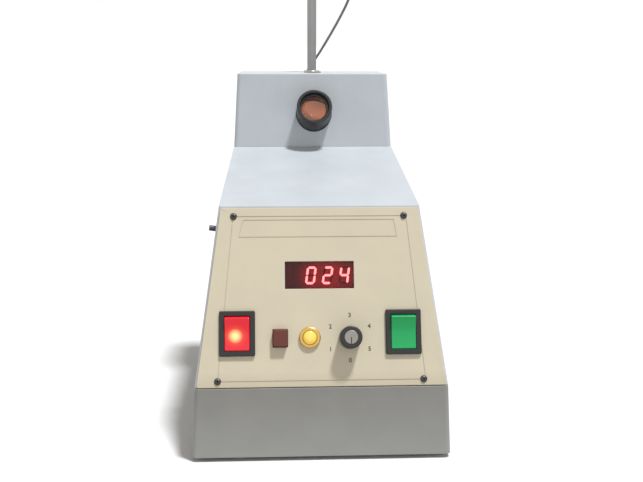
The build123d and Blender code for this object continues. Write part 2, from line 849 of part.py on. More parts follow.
# Heat control: body, bush and nut fixed to the panel, shaft turning with knob and cap
control_body = (16.5, 9.0)
bush_length = 6.0
shaft_diameter = 4.0
nut_thickness = 1.8
knob_gap = 0.6
knob_wall = 2.2
knob_top = 3.0
cap_rise = 0.4
pointer_length = 4.6
knob_plane = Plane(
    origin=panel_plane.from_local_coords((*knob_place, 0)),
    x_dir=panel_plane.x_dir,
    z_dir=panel_plane.z_dir,
)
with BuildPart() as heat_control:
    with BuildSketch(knob_plane.offset(-panel_thickness)):
        Circle(control_body[0] / 2)
    extrude(amount=-control_body[1])
    with BuildSketch(knob_plane.offset(-panel_thickness)):
        Circle(knob_bush_diameter / 2)
    extrude(amount=panel_thickness + bush_length)
    with BuildSketch(knob_plane.offset(bush_length)):
        Circle(shaft_diameter / 2 + running_gap)
    extrude(amount=-bush_length - panel_thickness - control_body[1] / 2, mode=Mode.SUBTRACT)
    with BuildSketch(knob_plane.offset(-panel_thickness - control_body[1])):
        with Locations((0, -control_body[0] / 2 + 1.0)):
            with GridLocations(5.0, 0, 3, 1):
                Rectangle(1.2, 1.6)
    extrude(amount=-4.0)

with BuildPart() as control_nut:
    with BuildSketch(knob_plane):
        RegularPolygon(5.4, 6)
        Circle(knob_bush_diameter / 2 + press_gap, mode=Mode.SUBTRACT)
    extrude(amount=nut_thickness)

with BuildPart() as control_knob:
    with BuildSketch(knob_plane.offset(knob_gap)):
        Circle(knob_diameter / 2)
    extrude(amount=knob_height - knob_gap)
    chamfer(control_knob.faces().sort_by(Axis.Y)[0].edges(), knob_chamfer)
    with BuildSketch(knob_plane.offset(knob_gap)):
        Circle(knob_diameter / 2 - knob_wall)
    extrude(amount=bush_length, mode=Mode.SUBTRACT)
    with BuildSketch(knob_plane.offset(knob_height)):
        Circle(knob_cap_diameter / 2 + press_gap)
    extrude(amount=-1.2, mode=Mode.SUBTRACT)
    with BuildSketch(knob_plane.offset(knob_gap)):
        with PolarLocations(knob_diameter / 2 + 0.25, 24):
            Circle(0.6)
    extrude(amount=knob_height - knob_gap - 1.5, mode=Mode.SUBTRACT)
    with BuildSketch(knob_plane.offset(knob_height - knob_top)):
        Circle(shaft_diameter / 2)
    extrude(amount=knob_top - knob_height - panel_thickness - control_body[1] / 2 + 0.5)

with BuildPart() as knob_cap:
    with BuildSketch(knob_plane.offset(knob_height - 1.2)):
        Circle(knob_cap_diameter / 2)
    extrude(amount=1.2 + cap_rise)
    fillet(knob_cap.faces().sort_by(Axis.Y)[0].edges(), 0.3)
    with BuildSketch(knob_plane.offset(knob_height + cap_rise)):
        with Locations((0, -pointer_length / 2)):
            Rectangle(0.7, pointer_length)
    extrude(amount=-0.3, mode=Mode.SUBTRACT)

# Eyepiece: bush behind the head's front wall, sliding tube, lens and its ring
bush_flange_radius = 21.0
bush_flange_thickness = 2.5
lens_seat = 8.0
lens_step = 1.1
lens_edge = 2.0
lens_bulge = 1.6
lens_ring_thickness = 1.8
bush_bore_radius = eyepiece_diameter / 2 + running_gap

with BuildPart() as eyepiece_bush:
    with BuildSketch(head_face.offset(-wall)):
        Circle(bush_flange_radius)
    extrude(amount=-bush_flange_thickness)
    with BuildSketch(eyepiece_plane.offset(-eyepiece_in)):
        Circle(bush_bore_radius + bush_wall)
    extrude(amount=eyepiece_in + eyepiece_out)
    split(bisect_by=head_face.offset(-wall), keep=Keep.BOTTOM)
    with BuildSketch(eyepiece_plane):
        Circle(bush_bore_radius)
    extrude(amount=2 * eyepiece_in, both=True, mode=Mode.SUBTRACT)

with BuildPart() as eyepiece_tube:
    with BuildSketch(eyepiece_plane.offset(-eyepiece_in)):
        Circle(eyepiece_diameter / 2)
    extrude(amount=eyepiece_in + eyepiece_out)
    tube_front = eyepiece_tube.faces().sort_by(Axis((0, 0, 0), tuple(eyepiece_plane.z_dir)))[-1]
    fillet(tube_front.edges(), 0.8)
    with BuildSketch(eyepiece_plane.offset(eyepiece_out)):
        Circle(eyepiece_bore / 2)
    extrude(amount=lens_seat - eyepiece_out, mode=Mode.SUBTRACT)
    with BuildSketch(eyepiece_plane.offset(eyepiece_out)):
        Circle(eyepiece_bore / 2 - lens_step)
    extrude(amount=-eyepiece_out - eyepiece_in, mode=Mode.SUBTRACT)

lens_radius = eyepiece_bore / 2 - press_gap
lens_clear = lens_radius - lens_step - 0.1
lens_curve = (lens_clear**2 + lens_bulge**2) / (2 * lens_bulge)
lens_half_bulge = lens_bulge - lens_curve + sqrt(lens_curve**2 - lens_clear**2 / 4)
lens_section = Plane(
    origin=eyepiece_plane.from_local_coords((0, 0, lens_seat)),
    x_dir=(1, 0, 0),
    z_dir=eyepiece_plane.y_dir,
)
with BuildPart() as eyepiece_lens:
    with BuildSketch(lens_section):
        with BuildLine():
            Line((0, lens_bulge), (0, -lens_edge - lens_bulge))
            ThreePointArc(
                (0, -lens_edge - lens_bulge),
                (lens_clear / 2, -lens_edge - lens_half_bulge),
                (lens_clear, -lens_edge),
            )
            Polyline(
                (lens_clear, -lens_edge),
                (lens_radius, -lens_edge),
                (lens_radius, 0),
                (lens_clear, 0),
            )
            ThreePointArc(
                (lens_clear, 0),
                (lens_clear / 2, lens_half_bulge),
                (0, lens_bulge),
            )
        make_face()
    revolve(axis=Axis(lens_section.origin, eyepiece_plane.z_dir))

with BuildPart() as lens_ring:
    with BuildSketch(eyepiece_plane.offset(lens_seat + lens_edge)):
        Circle(lens_radius)
        Circle(lens_radius - lens_step, mode=Mode.SUBTRACT)
    extrude(amount=lens_ring_thickness)

# Heating block on its insulator and bracket, with heaters, lamp and probe
bracket_top = shelf_z + bracket_thickness
block_bottom = bracket_top + insulator_thickness
block_top = block_bottom + block_height
bracket_size = (80.0, 50.0)
bracket_slot = (10.0, 22.0)
bracket_slot_x = 26.0
view_bore = 11.0
sample_z = eyepiece_z - (guide_y - eyepiece_y) * tan(radians(eyepiece_tilt))
well_bottom = sample_z - 3.0
probe_bottom = block_bottom + 6.0
heater_places = [(head_x - 11.0, block_y + 3.0), (head_x + 11.0, block_y + 3.0)]
heater_length = 32.0
capillary_places = [(head_x + step * capillary_pitch, guide_y) for step in (-1, 0, 1)]
lamp_diameter = 5.0
lamp_clear = 1.5
lamp_holder_gap = 1.0
lamp_y = guide_y - 1.5
lamp_tip_x = head_x - capillary_pitch - lamp_clear
lamp_length = 12.0
lamp_holder_x = head_x - block_diameter / 2 - lamp_holder_gap
lamp_holder_size = (8.0, 9.0)

with BuildPart() as block_bracket:
    with BuildSketch(Plane.XY.offset(shelf_z)):
        with Locations((head_x, block_y)):
            RectangleRounded(*bracket_size, 3.0)
            with Locations((-bracket_slot_x, 5), (bracket_slot_x, 5)):
                SlotOverall(bracket_slot[1], bracket_slot[0], rotation=90, mode=Mode.SUBTRACT)
        with Locations(*heater_places):
            Circle(heater_diameter / 2 + hole_gap, mode=Mode.SUBTRACT)
    extrude(amount=bracket_thickness)

with BuildPart() as block_insulator:
    with BuildSketch(Plane.XY.offset(bracket_top)):
        with Locations((head_x, block_y)):
            Circle(block_diameter / 2)
        with Locations(*heater_places):
            Circle(heater_diameter / 2 + hole_gap, mode=Mode.SUBTRACT)
    extrude(amount=insulator_thickness)

with BuildPart() as heating_block:
    with BuildSketch(Plane.XY.offset(block_bottom)):
        with Locations((head_x, block_y)):
            Circle(block_diameter / 2)
    extrude(amount=block_height)
    chamfer(heating_block.edges().group_by(Axis.Z)[-1], 1.0)
    with BuildSketch(Plane.XY.offset(block_bottom)):
        with Locations(*heater_places):
            Circle(heater_diameter / 2 + press_gap)
    extrude(amount=heater_length, mode=Mode.SUBTRACT)
    with BuildSketch(Plane.XY.offset(block_top)):
        with Locations((head_x, probe_y)):
            Circle(probe_diameter / 2 + press_gap)
    extrude(amount=probe_bottom - block_top, mode=Mode.SUBTRACT)
    with BuildSketch(Plane.XY.offset(block_top)):
        with Locations(*capillary_places):
            Circle(capillary_bore / 2 + well_gap)
    extrude(amount=well_bottom - block_top, mode=Mode.SUBTRACT)
    with BuildSketch(eyepiece_plane):
        Circle(view_bore / 2)
    view_reach = (guide_y + capillary_bore - eyepiece_y) / cos(radians(eyepiece_tilt))
    extrude(amount=-view_reach, mode=Mode.SUBTRACT)
    with BuildSketch(Plane((head_x, lamp_y, sample_z), x_dir=(0, 1, 0), z_dir=(-1, 0, 0))):
        Circle(lamp_diameter / 2 + hole_gap)
    extrude(amount=block_diameter, mode=Mode.SUBTRACT)

with BuildPart() as heater_cartridges:
    with BuildSketch(Plane.XY.offset(shelf_z)):
        with Locations(*heater_places):
            Circle(heater_diameter / 2)
    extrude(amount=block_bottom + heater_length - 1.0 - shelf_z)
    fillet(heater_cartridges.edges().group_by(Axis.Z)[-1], 0.5)

lamp_plane = Plane((lamp_tip_x, lamp_y, sample_z), x_dir=(0, 1, 0), z_dir=(-1, 0, 0))
with BuildPart() as lamp:
    with BuildSketch(lamp_plane):
        Circle(lamp_diameter / 2)
    extrude(amount=lamp_length + 3.0)
    fillet(lamp.faces().sort_by(Axis.X)[-1].edges(), 2.2)

with BuildPart() as lamp_holder:
    with BuildSketch(Plane.XY.offset(bracket_top)):
        with Locations((lamp_holder_x - lamp_holder_size[0] / 2, lamp_y)):
            Rectangle(*lamp_holder_size)
    extrude(amount=sample_z + lamp_diameter - bracket_top)
    with BuildSketch(lamp_plane):
        Circle(lamp_diameter / 2 + press_gap)
    extrude(amount=lamp_length + 3.0, mode=Mode.SUBTRACT)

with BuildPart() as capillary_guide:
    with BuildSketch(Plane.XY.offset(block_top)):
        with Locations((head_x, guide_y)):
            Circle(guide_radius)
    extrude(amount=head_top_z - block_top)
    with BuildSketch(Plane.XY.offset(head_top_z)):
        with Locations((head_x, guide_y)):
            Circle(guide_flange_radius)
    extrude(amount=guide_flange_thickness)
    with BuildSketch(Plane.XY.offset(block_top)):
        with Locations(*capillary_places):
            Circle(capillary_bore / 2)
    extrude(amount=head_top_z + guide_flange_thickness - block_top, mode=Mode.SUBTRACT)

gland_flange_thickness = 1.4
gland_length = 9.0
with BuildPart() as probe_gland:
    with BuildSketch(Plane.XY.offset(head_top_z)):
        with Locations((head_x, probe_y)):
            Circle(gland_diameter / 2)
    extrude(amount=gland_flange_thickness)
    chamfer(probe_gland.edges().group_by(Axis.Z)[-1], 0.4)
    with BuildSketch(Plane.XY.offset(head_top_z)):
        with Locations((head_x, probe_y)):
            Circle(gland_thread_radius)
    extrude(amount=-gland_length)
    with BuildSketch(Plane.XY.offset(head_top_z + gland_flange_thickness)):
        with Locations((head_x, probe_y)):
            Circle(probe_diameter / 2 + press_gap)
    extrude(amount=-gland_length - gland_flange_thickness, mode=Mode.SUBTRACT)

probe_top = head_top_z + probe_above
boot_radius = 2.6
boot_length = 9.0
with BuildPart() as temperature_probe:
    with BuildSketch(Plane.XY.offset(probe_bottom)):
        with Locations((head_x, probe_y)):
            Circle(probe_diameter / 2)
    extrude(amount=probe_top - probe_bottom)
    fillet(temperature_probe.edges().group_by(Axis.Z)[0], 1.5)
    chamfer(temperature_probe.edges().group_by(Axis.Z)[-1], 0.6)

with BuildPart() as probe_boot:
    with BuildSketch(Plane.XY.offset(probe_top)):
        with Locations((head_x, probe_y)):
            Circle(boot_radius)
    extrude(amount=boot_length, taper=4)

# Lead from the probe's boot over to the grommet behind the head
grommet_stand = 3.0
grommet_plane = head_rear_plane(grommet_x, grommet_z)
with BuildPart() as lead_grommet:
    with BuildSketch(grommet_plane):
        Circle(grommet_hole_radius + 1.6)
    extrude(amount=grommet_stand)
    fillet(lead_grommet.faces().sort_by(Axis.Y)[-1].edges(), 0.8)
    with BuildSketch(grommet_plane):
        Circle(grommet_hole_radius - press_gap)
    extrude(amount=-wall)
    with BuildSketch(grommet_plane.offset(-wall)):
        Circle(grommet_hole_radius + 1.2)
    extrude(amount=-1.6)

lead_points = [
    (head_x, probe_y, probe_top + boot_length),
    (head_x, probe_y, probe_top + boot_length + 11.5),
    (head_x + 4.1, probe_y + 1.0, probe_top + 31.8),
    (head_x + 19.1, probe_y + 6.5, probe_top + 36.8),
    (head_x + 34.1, probe_y + 16.5, probe_top + 26.8),
    (head_x + 37.1, probe_y + 25.5, probe_top + 6.8),
    (head_x + 25.1, probe_y + 31.0, probe_top - 18.1),
    (head_x + 8.4, probe_y + 35.8, probe_top - 46.4),
    (head_x - 2.8, probe_y + 38.0, probe_top - 62.4),
    (head_x - 13.4, probe_y + 42.0, probe_top - 79.2),
    tuple(grommet_plane.offset(grommet_stand + 10.7).origin),
    tuple(grommet_plane.offset(grommet_stand).origin),
]


def corner_radii(points):
    """Radius of the arc at each inner point: 0.45 of the shorter run over the tangent of half the turn."""
    radii = []
    for before, here, after in zip(points, points[1:], points[2:]):
        first = Vector(*here) - Vector(*before)
        second = Vector(*after) - Vector(*here)
        turn = first.get_angle(second)
        radii.append(0.45 * min(first.length, second.length) / tan(radians(turn / 2)))
    return radii


lead_radii = corner_radii(lead_points)
print("lead radii", [round(radius, 1) for radius in lead_radii])
with BuildPart() as probe_lead:
    with BuildLine() as lead_path:
        FilletPolyline(*lead_points, radius=lead_radii)
    with BuildSketch(Plane(origin=lead_path.line @ 0, z_dir=lead_path.line % 0)):
        Circle(lead_diameter / 2)
    sweep()
lead_length = sum(edge.length for edge in lead_path.edges())
lead_section = pi * lead_diameter**2 / 4
print("lead volume", round(probe_lead.part.volume), "expected", round(lead_section * lead_length))

# Cooling fan behind the rear wall, with a wire guard outside
fan_plane = rear_plane(0, fan_z)
fan_mouth = fan_plane.offset(-wall)
fan_bore = 56.0
fan_hub = 24.0
fan_tip_gap = 1.0
fan_stator = 3.0
fan_shaft = 3.0
blade_thickness = 1.4
blade_pitch = 35.0
with BuildPart() as fan_frame:
    with BuildSketch(fan_mouth):
        RectangleRounded(fan_size, fan_size, 4.0)
        Circle(fan_bore / 2, mode=Mode.SUBTRACT)
        with GridLocations(fan_screw_pitch, fan_screw_pitch, 2, 2):
            Circle(fan_screw_radius + press_gap, mode=Mode.SUBTRACT)
    extrude(amount=-fan_depth)
    with BuildSketch(fan_mouth.offset(-fan_depth)):
        Circle(fan_hub / 2)
        with PolarLocations(0, 4):
            with Locations((fan_bore / 4 + 0.5, 0)):
                Rectangle(fan_bore / 2 + 1.0, 3.0)
    extrude(amount=fan_stator)
    with BuildSketch(fan_mouth.offset(-fan_depth)):
        Circle(fan_shaft / 2 + running_gap)
    extrude(amount=fan_stator, mode=Mode.SUBTRACT)

rotor_start = fan_stator + 0.6
rotor_height = fan_depth - rotor_start - 1.4
with BuildPart() as fan_rotor:
    with BuildSketch(fan_mouth.offset(rotor_start - fan_depth)):
        Circle(fan_hub / 2)
    extrude(amount=rotor_height)
    fillet(fan_rotor.faces().sort_by(Axis.Y)[-1].edges(), 1.0)
    with BuildSketch(fan_mouth.offset(rotor_start - fan_depth)):
        Circle(fan_shaft / 2)
    extrude(amount=0.4 - rotor_start)
    middle = fan_mouth.offset(rotor_start - fan_depth + rotor_height / 2)
    for blade in range(fan_blades):
        root = turned(middle, 360 * blade / fan_blades)
        face = Plane(origin=root.origin, x_dir=root.y_dir, z_dir=root.x_dir)
        with BuildSketch(turned(face.offset(fan_hub / 2 - 1.0), blade_pitch)):
            Rectangle(rotor_height / 0.85, blade_thickness)
        extrude(amount=fan_bore / 2 - fan_tip_gap - fan_hub / 2)

guard_wire = 1.6
guard_radii = (9.0, 16.0, 23.0)
guard_eye_radius = 4.0
fan_screw_head_radius = 3.4
fan_screw_head_height = 2.0
with BuildPart() as fan_guard:
    with BuildSketch(fan_plane):
        for radius in guard_radii:
            Circle(radius + guard_wire / 2)
            Circle(radius - guard_wire / 2, mode=Mode.SUBTRACT)
        with PolarLocations(0, 4, start_angle=45):
            with Locations((fan_screw_pitch / 2, 0)):
                Rectangle(2 * (fan_screw_pitch / 2 - guard_radii[0]) + guard_wire, guard_wire)
        with GridLocations(fan_screw_pitch, fan_screw_pitch, 2, 2):
            Circle(guard_eye_radius)
            Circle(fan_screw_radius + hole_gap, mode=Mode.SUBTRACT)
    extrude(amount=guard_wire)

with BuildPart() as fan_screws:
    with BuildSketch(fan_plane.offset(guard_wire)):
        with GridLocations(fan_screw_pitch, fan_screw_pitch, 2, 2):
            Circle(fan_screw_head_radius)
    extrude(amount=fan_screw_head_height, taper=15)
    with BuildSketch(fan_plane.offset(guard_wire + fan_screw_head_height)):
        with GridLocations(fan_screw_pitch, fan_screw_pitch, 2, 2):
            Rectangle(3.0, 0.8)
            Rectangle(0.8, 3.0)
    extrude(amount=-1.2, mode=Mode.SUBTRACT)
    with BuildSketch(fan_plane.offset(guard_wire)):
        with GridLocations(fan_screw_pitch, fan_screw_pitch, 2, 2):
            Circle(fan_screw_radius)
    extrude(amount=-guard_wire - wall - fan_depth)

# Mains inlet with its three pins, and the fuse holder with its cap
inlet_plane = rear_plane(inlet_x, rear_fitting_z)
inlet_body = (27.0, 20.0)
inlet_flange = (31.0, 24.0)
inlet_cavity = (24.4, 16.4)
inlet_depth = 22.0
inlet_cavity_depth = 16.0
inlet_flange_thickness = 2.0
pin_size = (2.0, 4.0)
pin_spread = 7.0
earth_rise = 3.6
line_drop = 0.4
with BuildPart() as mains_inlet:
    with BuildSketch(inlet_plane):
        RectangleRounded(*inlet_flange, 2.0)
    extrude(amount=inlet_flange_thickness)
    with BuildSketch(inlet_plane):
        Rectangle(*inlet_body)
    extrude(amount=-inlet_depth)
    with BuildSketch(inlet_plane.offset(inlet_flange_thickness)):
        Rectangle(*inlet_cavity)
        chamfer(vertices().group_by(Axis.Y)[-1], 4.0)
    extrude(amount=-inlet_flange_thickness - inlet_cavity_depth, mode=Mode.SUBTRACT)
    with BuildSketch(inlet_plane.offset(-inlet_depth)):
        with Locations((-pin_spread, -line_drop), (pin_spread, -line_drop), (0, earth_rise)):
            Rectangle(*pin_size)
    extrude(amount=inlet_depth - inlet_cavity_depth, mode=Mode.SUBTRACT)

with BuildPart() as inlet_pins:
    with BuildSketch(inlet_plane.offset(-inlet_depth - 7.0)):
        with Locations((-pin_spread, -line_drop), (pin_spread, -line_drop), (0, earth_rise)):
            Rectangle(*pin_size)
    extrude(amount=inlet_depth + 7.0 - 3.0)

fuse_plane = rear_plane(fuse_x, rear_fitting_z)
fuse_flange = (8.2, 2.0)
fuse_length = 30.0
cap_radius = 5.6
with BuildPart() as fuse_holder:
    with BuildSketch(fuse_plane):
        Circle(fuse_flange[0])
    extrude(amount=fuse_flange[1])
    with BuildSketch(fuse_plane):
        Circle(fuse_hole_radius - hole_gap)
    extrude(amount=-fuse_length)
    with BuildSketch(fuse_plane.offset(fuse_flange[1])):
        Circle(cap_radius + press_gap)
    extrude(amount=-fuse_flange[1] - 12.0, mode=Mode.SUBTRACT)

with BuildPart() as fuse_cap:
    with BuildSketch(fuse_plane.offset(-12.0)):
        Circle(cap_radius)
    extrude(amount=12.0 + rear_reach)
    fillet(fuse_cap.faces().sort_by(Axis.Y)[-1].edges(), 0.8)
    with BuildSketch(fuse_plane.offset(rear_reach)):
        Rectangle(1.2, 8.0)
    extrude(amount=-1.6, mode=Mode.SUBTRACT)

# Transformer on the floor: laminated core with two windows, and its winding
transformer_x = -42.0
transformer_behind = 165.0
transformer_y = front_y + transformer_behind
core_stack = 26.0
limb = transformer_size[0] / 3
winding_wrap = 9.0
transformer_plane = Plane((transformer_x, transformer_y, floor_z), x_dir=(1, 0, 0), z_dir=(0, -1, 0))
window_rise = transformer_size[1] / 2
window_tall = transformer_size[1] - limb
with BuildPart() as transformer_core:
    with BuildSketch(transformer_plane):
        with Locations((0, window_rise)):
            Rectangle(transformer_size[0], transformer_size[1])
            with GridLocations(2 * limb - limb / 2, 0, 2, 1):
                Rectangle(limb / 2, window_tall, mode=Mode.SUBTRACT)
    extrude(amount=core_stack / 2, both=True)

with BuildPart() as transformer_winding:
    with BuildSketch(Plane((transformer_x, transformer_y, floor_z + window_rise - window_tall / 2 + 0.3))):
        RectangleRounded(2 * limb - 0.6, core_stack + 2 * winding_wrap, 3.0)
        Rectangle(limb + 2 * slide_gap, core_stack + 2 * slide_gap, mode=Mode.SUBTRACT)
    extrude(amount=window_tall - 0.6)

# Main board on spacers, with its parts and a finned heat sink
board_x = 22.0
board_behind = 92.0
board_y = front_y + board_behind
capacitor_places = [(board_x - 30.0, board_y + 30.0), (board_x - 30.0, board_y + 10.0)]
capacitor_size = (16.0, 24.0)
terminal_size = (30.0, 10.0, 12.0)
terminal_pitch = 56.0
chip_size = (8.0, 20.0, 4.0)
sink_place = (board_x + 14.0, board_y + 24.0)
board_z = floor_z + board_lift
spacer_inset = 6.0
with BuildPart() as board_spacers:
    with BuildSketch(Plane.XY.offset(floor_z)):
        with Locations((board_x, board_y)):
            with GridLocations(board_size[0] - 2 * spacer_inset, board_size[1] - 2 * spacer_inset, 2, 2):
                Circle(3.2)
    extrude(amount=board_lift)
    with BuildSketch(Plane.XY.offset(board_z)):
        with Locations((board_x, board_y)):
            with GridLocations(board_size[0] - 2 * spacer_inset, board_size[1] - 2 * spacer_inset, 2, 2):
                Circle(1.4)
    extrude(amount=board_thickness + 2.0)

with BuildPart() as main_board:
    with BuildSketch(Plane.XY.offset(board_z)):
        with Locations((board_x, board_y)):
            Rectangle(*board_size)
            with GridLocations(board_size[0] - 2 * spacer_inset, board_size[1] - 2 * spacer_inset, 2, 2):
                Circle(1.4 + press_gap, mode=Mode.SUBTRACT)
    extrude(amount=board_thickness)

parts_z = board_z + board_thickness
with BuildPart() as board_parts:
    with BuildSketch(Plane.XY.offset(parts_z)):
        with Locations(*capacitor_places):
            Circle(capacitor_size[0] / 2)
    extrude(amount=capacitor_size[1])
    with BuildSketch(Plane.XY.offset(parts_z)):
        with Locations((board_x, board_y - 42.0)):
            with GridLocations(terminal_pitch, 0, 2, 1):
                Rectangle(terminal_size[0], terminal_size[1])
    extrude(amount=terminal_size[2])
    with BuildSketch(Plane.XY.offset(parts_z)):
        with Locations((board_x, board_y - 20.0)):
            with GridLocations(26.0, 0, 3, 1):
                Rectangle(chip_size[0], chip_size[1])
    extrude(amount=chip_size[2])

sink_size = (44.0, 22.0, 28.0)
sink_web = 4.0
fin_thickness = 1.6
with BuildPart() as heat_sink:
    with BuildSketch(Plane.XY.offset(parts_z)):
        with Locations(sink_place):
            Rectangle(sink_size[0], sink_web)
            with GridLocations((sink_size[0] - fin_thickness) / 7, 0, 8, 1):
                Rectangle(fin_thickness, sink_size[1])
    extrude(amount=sink_size[2])

pieces = {
    "base_tray": base_tray,
    "housing_cover": housing_cover,
    "head_cover": head_cover,
    "rubber_feet": rubber_feet,
    "case_screws": case_screws,
    "head_screws": head_screws,
    "side_screw": side_screw,
    "front_panel": front_panel,
    "panel_screws": panel_screws,
    "display_window": display_window,
    "display_module": display_module,
    "display_digits": display_digits,
    "display_board": display_board,
    "display_spacers": display_spacers,
    "mains_switch_body": mains_switch_body,
    "mains_rocker": mains_rocker,
    "fan_switch_body": fan_switch_body,
    "fan_rocker": fan_rocker,
    "hold_button_body": hold_button_body,
    "hold_button": hold_button,
    "indicator_bezel": indicator_bezel,
    "indicator_nut": indicator_nut_ring,
    "indicator_lens": indicator_lens,
    "heat_control": heat_control,
    "control_nut": control_nut,
    "control_knob": control_knob,
    "knob_cap": knob_cap,
    "eyepiece_bush": eyepiece_bush,
    "eyepiece_tube": eyepiece_tube,
    "eyepiece_lens": eyepiece_lens,
    "lens_ring": lens_ring,
    "heating_block": heating_block,
    "heater_cartridges": heater_cartridges,
    "block_insulator": block_insulator,
    "block_bracket": block_bracket,
    "lamp": lamp,
    "lamp_holder": lamp_holder,
    "capillary_guide": capillary_guide,
    "probe_gland": probe_gland,
    "temperature_probe": temperature_probe,
    "probe_boot": probe_boot,
    "probe_lead": probe_lead,
    "lead_grommet": lead_grommet,
    "fan_frame": fan_frame,
    "fan_rotor": fan_rotor,
    "fan_guard": fan_guard,
    "fan_screws": fan_screws,
    "mains_inlet": mains_inlet,
    "inlet_pins": inlet_pins,
    "fuse_holder": fuse_holder,
    "fuse_cap": fuse_cap,
    "transformer_core": transformer_core,
    "transformer_winding": transformer_winding,
    "main_board": main_board,
    "board_parts": board_parts,
    "board_spacers": board_spacers,
    "heat_sink": heat_sink,
}
for name, piece in pieces.items():
    piece.part.label = name
    export_step(piece.part, f"parts/{name}.step")
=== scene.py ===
# %% [markdown]
# # A melting point apparatus
# The real one is a small bench instrument: a painted housing with a steep control
# panel, a sloping shelf, and a head with an eyepiece that looks at a heated block.
# The solid model brings every piece in its right place, in metres. This lesson gives
# the pieces their finishes, and makes again those whose form needs more care.

# %% Load the solid model
import bpy
import bmesh
from math import cos, pi, radians, sin, tan
from mathutils import Matrix, Vector


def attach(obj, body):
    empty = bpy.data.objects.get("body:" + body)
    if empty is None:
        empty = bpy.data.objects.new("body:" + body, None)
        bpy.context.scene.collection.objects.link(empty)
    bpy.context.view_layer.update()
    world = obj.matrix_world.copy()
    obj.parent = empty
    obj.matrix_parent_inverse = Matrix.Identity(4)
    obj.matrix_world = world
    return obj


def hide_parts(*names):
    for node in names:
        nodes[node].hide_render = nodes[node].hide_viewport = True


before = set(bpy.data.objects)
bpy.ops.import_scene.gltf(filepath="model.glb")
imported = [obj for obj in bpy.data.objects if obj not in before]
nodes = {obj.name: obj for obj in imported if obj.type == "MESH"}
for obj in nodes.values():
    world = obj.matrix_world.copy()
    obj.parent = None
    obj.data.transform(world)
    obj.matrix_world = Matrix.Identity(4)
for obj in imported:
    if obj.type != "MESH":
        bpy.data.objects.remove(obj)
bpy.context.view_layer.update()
scene = bpy.context.scene
scene.view_settings.view_transform = "Standard"
print("nodes:", len(nodes))

# %% [markdown]
# ## Where things are
# A few stations of the side view place everything else. The control panel is a
# plane of its own: u runs to the right, v up the slope and w out of it. One matrix
# turns millimetres on that plane into metres in the room.

# %% Stations of the instrument, in millimetres
front_y = -125.224
base_z = 3.0
base_height = 51.3
front_lean = radians(1.0)
panel_slope = radians(70.5)
panel_length = 129.0
panel_middle = -0.7
seam_y = front_y + base_height * tan(front_lean)
seam_z = base_z + base_height
shelf_reach = 163.63
shelf_y = front_y + shelf_reach
shelf_z = 206.405
head_x = 0.9
head_run = 80.4
head_height = 59.8
head_lean = radians(10.5)
head_top_z = shelf_z + head_height
rear_lean = radians(1.0)
rear_foot_y = shelf_y + head_run
probe_behind = 48.9
probe_y = shelf_y + probe_behind


def upright_on(origin, slope_x, outward):
    """Matrix of a plane: its x axis, its outward normal and its origin in millimetres."""
    along = Vector(slope_x).normalized()
    out = Vector(outward).normalized()
    up = out.cross(along)
    place = Matrix((along, up, out)).transposed().to_4x4()
    place.translation = Vector(origin) * 0.001
    return place @ Matrix.Scale(0.001, 4)


# %% The plane of the panel and the places on it
panel_out = (0, -sin(panel_slope), cos(panel_slope))
panel = upright_on((panel_middle, seam_y, seam_z), (1, 0, 0), panel_out)
switch_place = (59.0, 38.6)
lamp_place = (-7.6, 35.2)
knob_place = (20.9, 34.8)
window_place = (-0.2, 79.8)
digit_plane = -3.7
low_screws = (72.8, 5.2)
high_screws = (61.4, 122.5)


def in_room(u, v, w=0.0):
    """A point of the panel, from millimetres on it to metres in the room."""
    return tuple(panel @ Vector((u, v, w)))


def seat_at(place):
    """Matrix of a plane that lies on the panel, with its origin at a place u, v."""
    return upright_on(panel @ Vector((*place, 0)) * 1000, (1, 0, 0), panel_out)


print("top of the panel:", in_room(0, panel_length))

# %% [markdown]
# ## The camera
# The photograph was taken from a little above and a little to the left. A lens of
# 54.6 mm on a 36 mm frame gives the same narrowing of the panel towards the top.

# %% Set the camera
view_down = radians(11.82)
view_right = radians(2.87)
view_roll = radians(0.14)
camera_place = (-0.03343, -0.77515, 0.29626)
ahead = Vector((sin(view_right) * cos(view_down), cos(view_right) * cos(view_down),
                -sin(view_down)))
level = Vector((cos(view_right), -sin(view_right), 0))
rise = level.cross(ahead)
across = level * cos(view_roll) + rise * sin(view_roll)
up = rise * cos(view_roll) - level * sin(view_roll)
lens = bpy.data.cameras.new("camera")
lens.lens = 54.64
lens.sensor_width = 36
camera = bpy.data.objects.new("camera", lens)
camera.matrix_world = Matrix((across, up, -ahead)).transposed().to_4x4()
camera.matrix_world.translation = Vector(camera_place)
scene.collection.objects.link(camera)
scene.camera = camera
print("camera at:", camera.matrix_world.translation)

# %% [markdown]
# ## Formulas
# A finish is a small network of nodes, and so is a shape that follows a rule. Both
# could be wired one node at a time. Written as a formula they are easier to read, so
# this class wraps one socket, and the usual signs add the Math nodes.


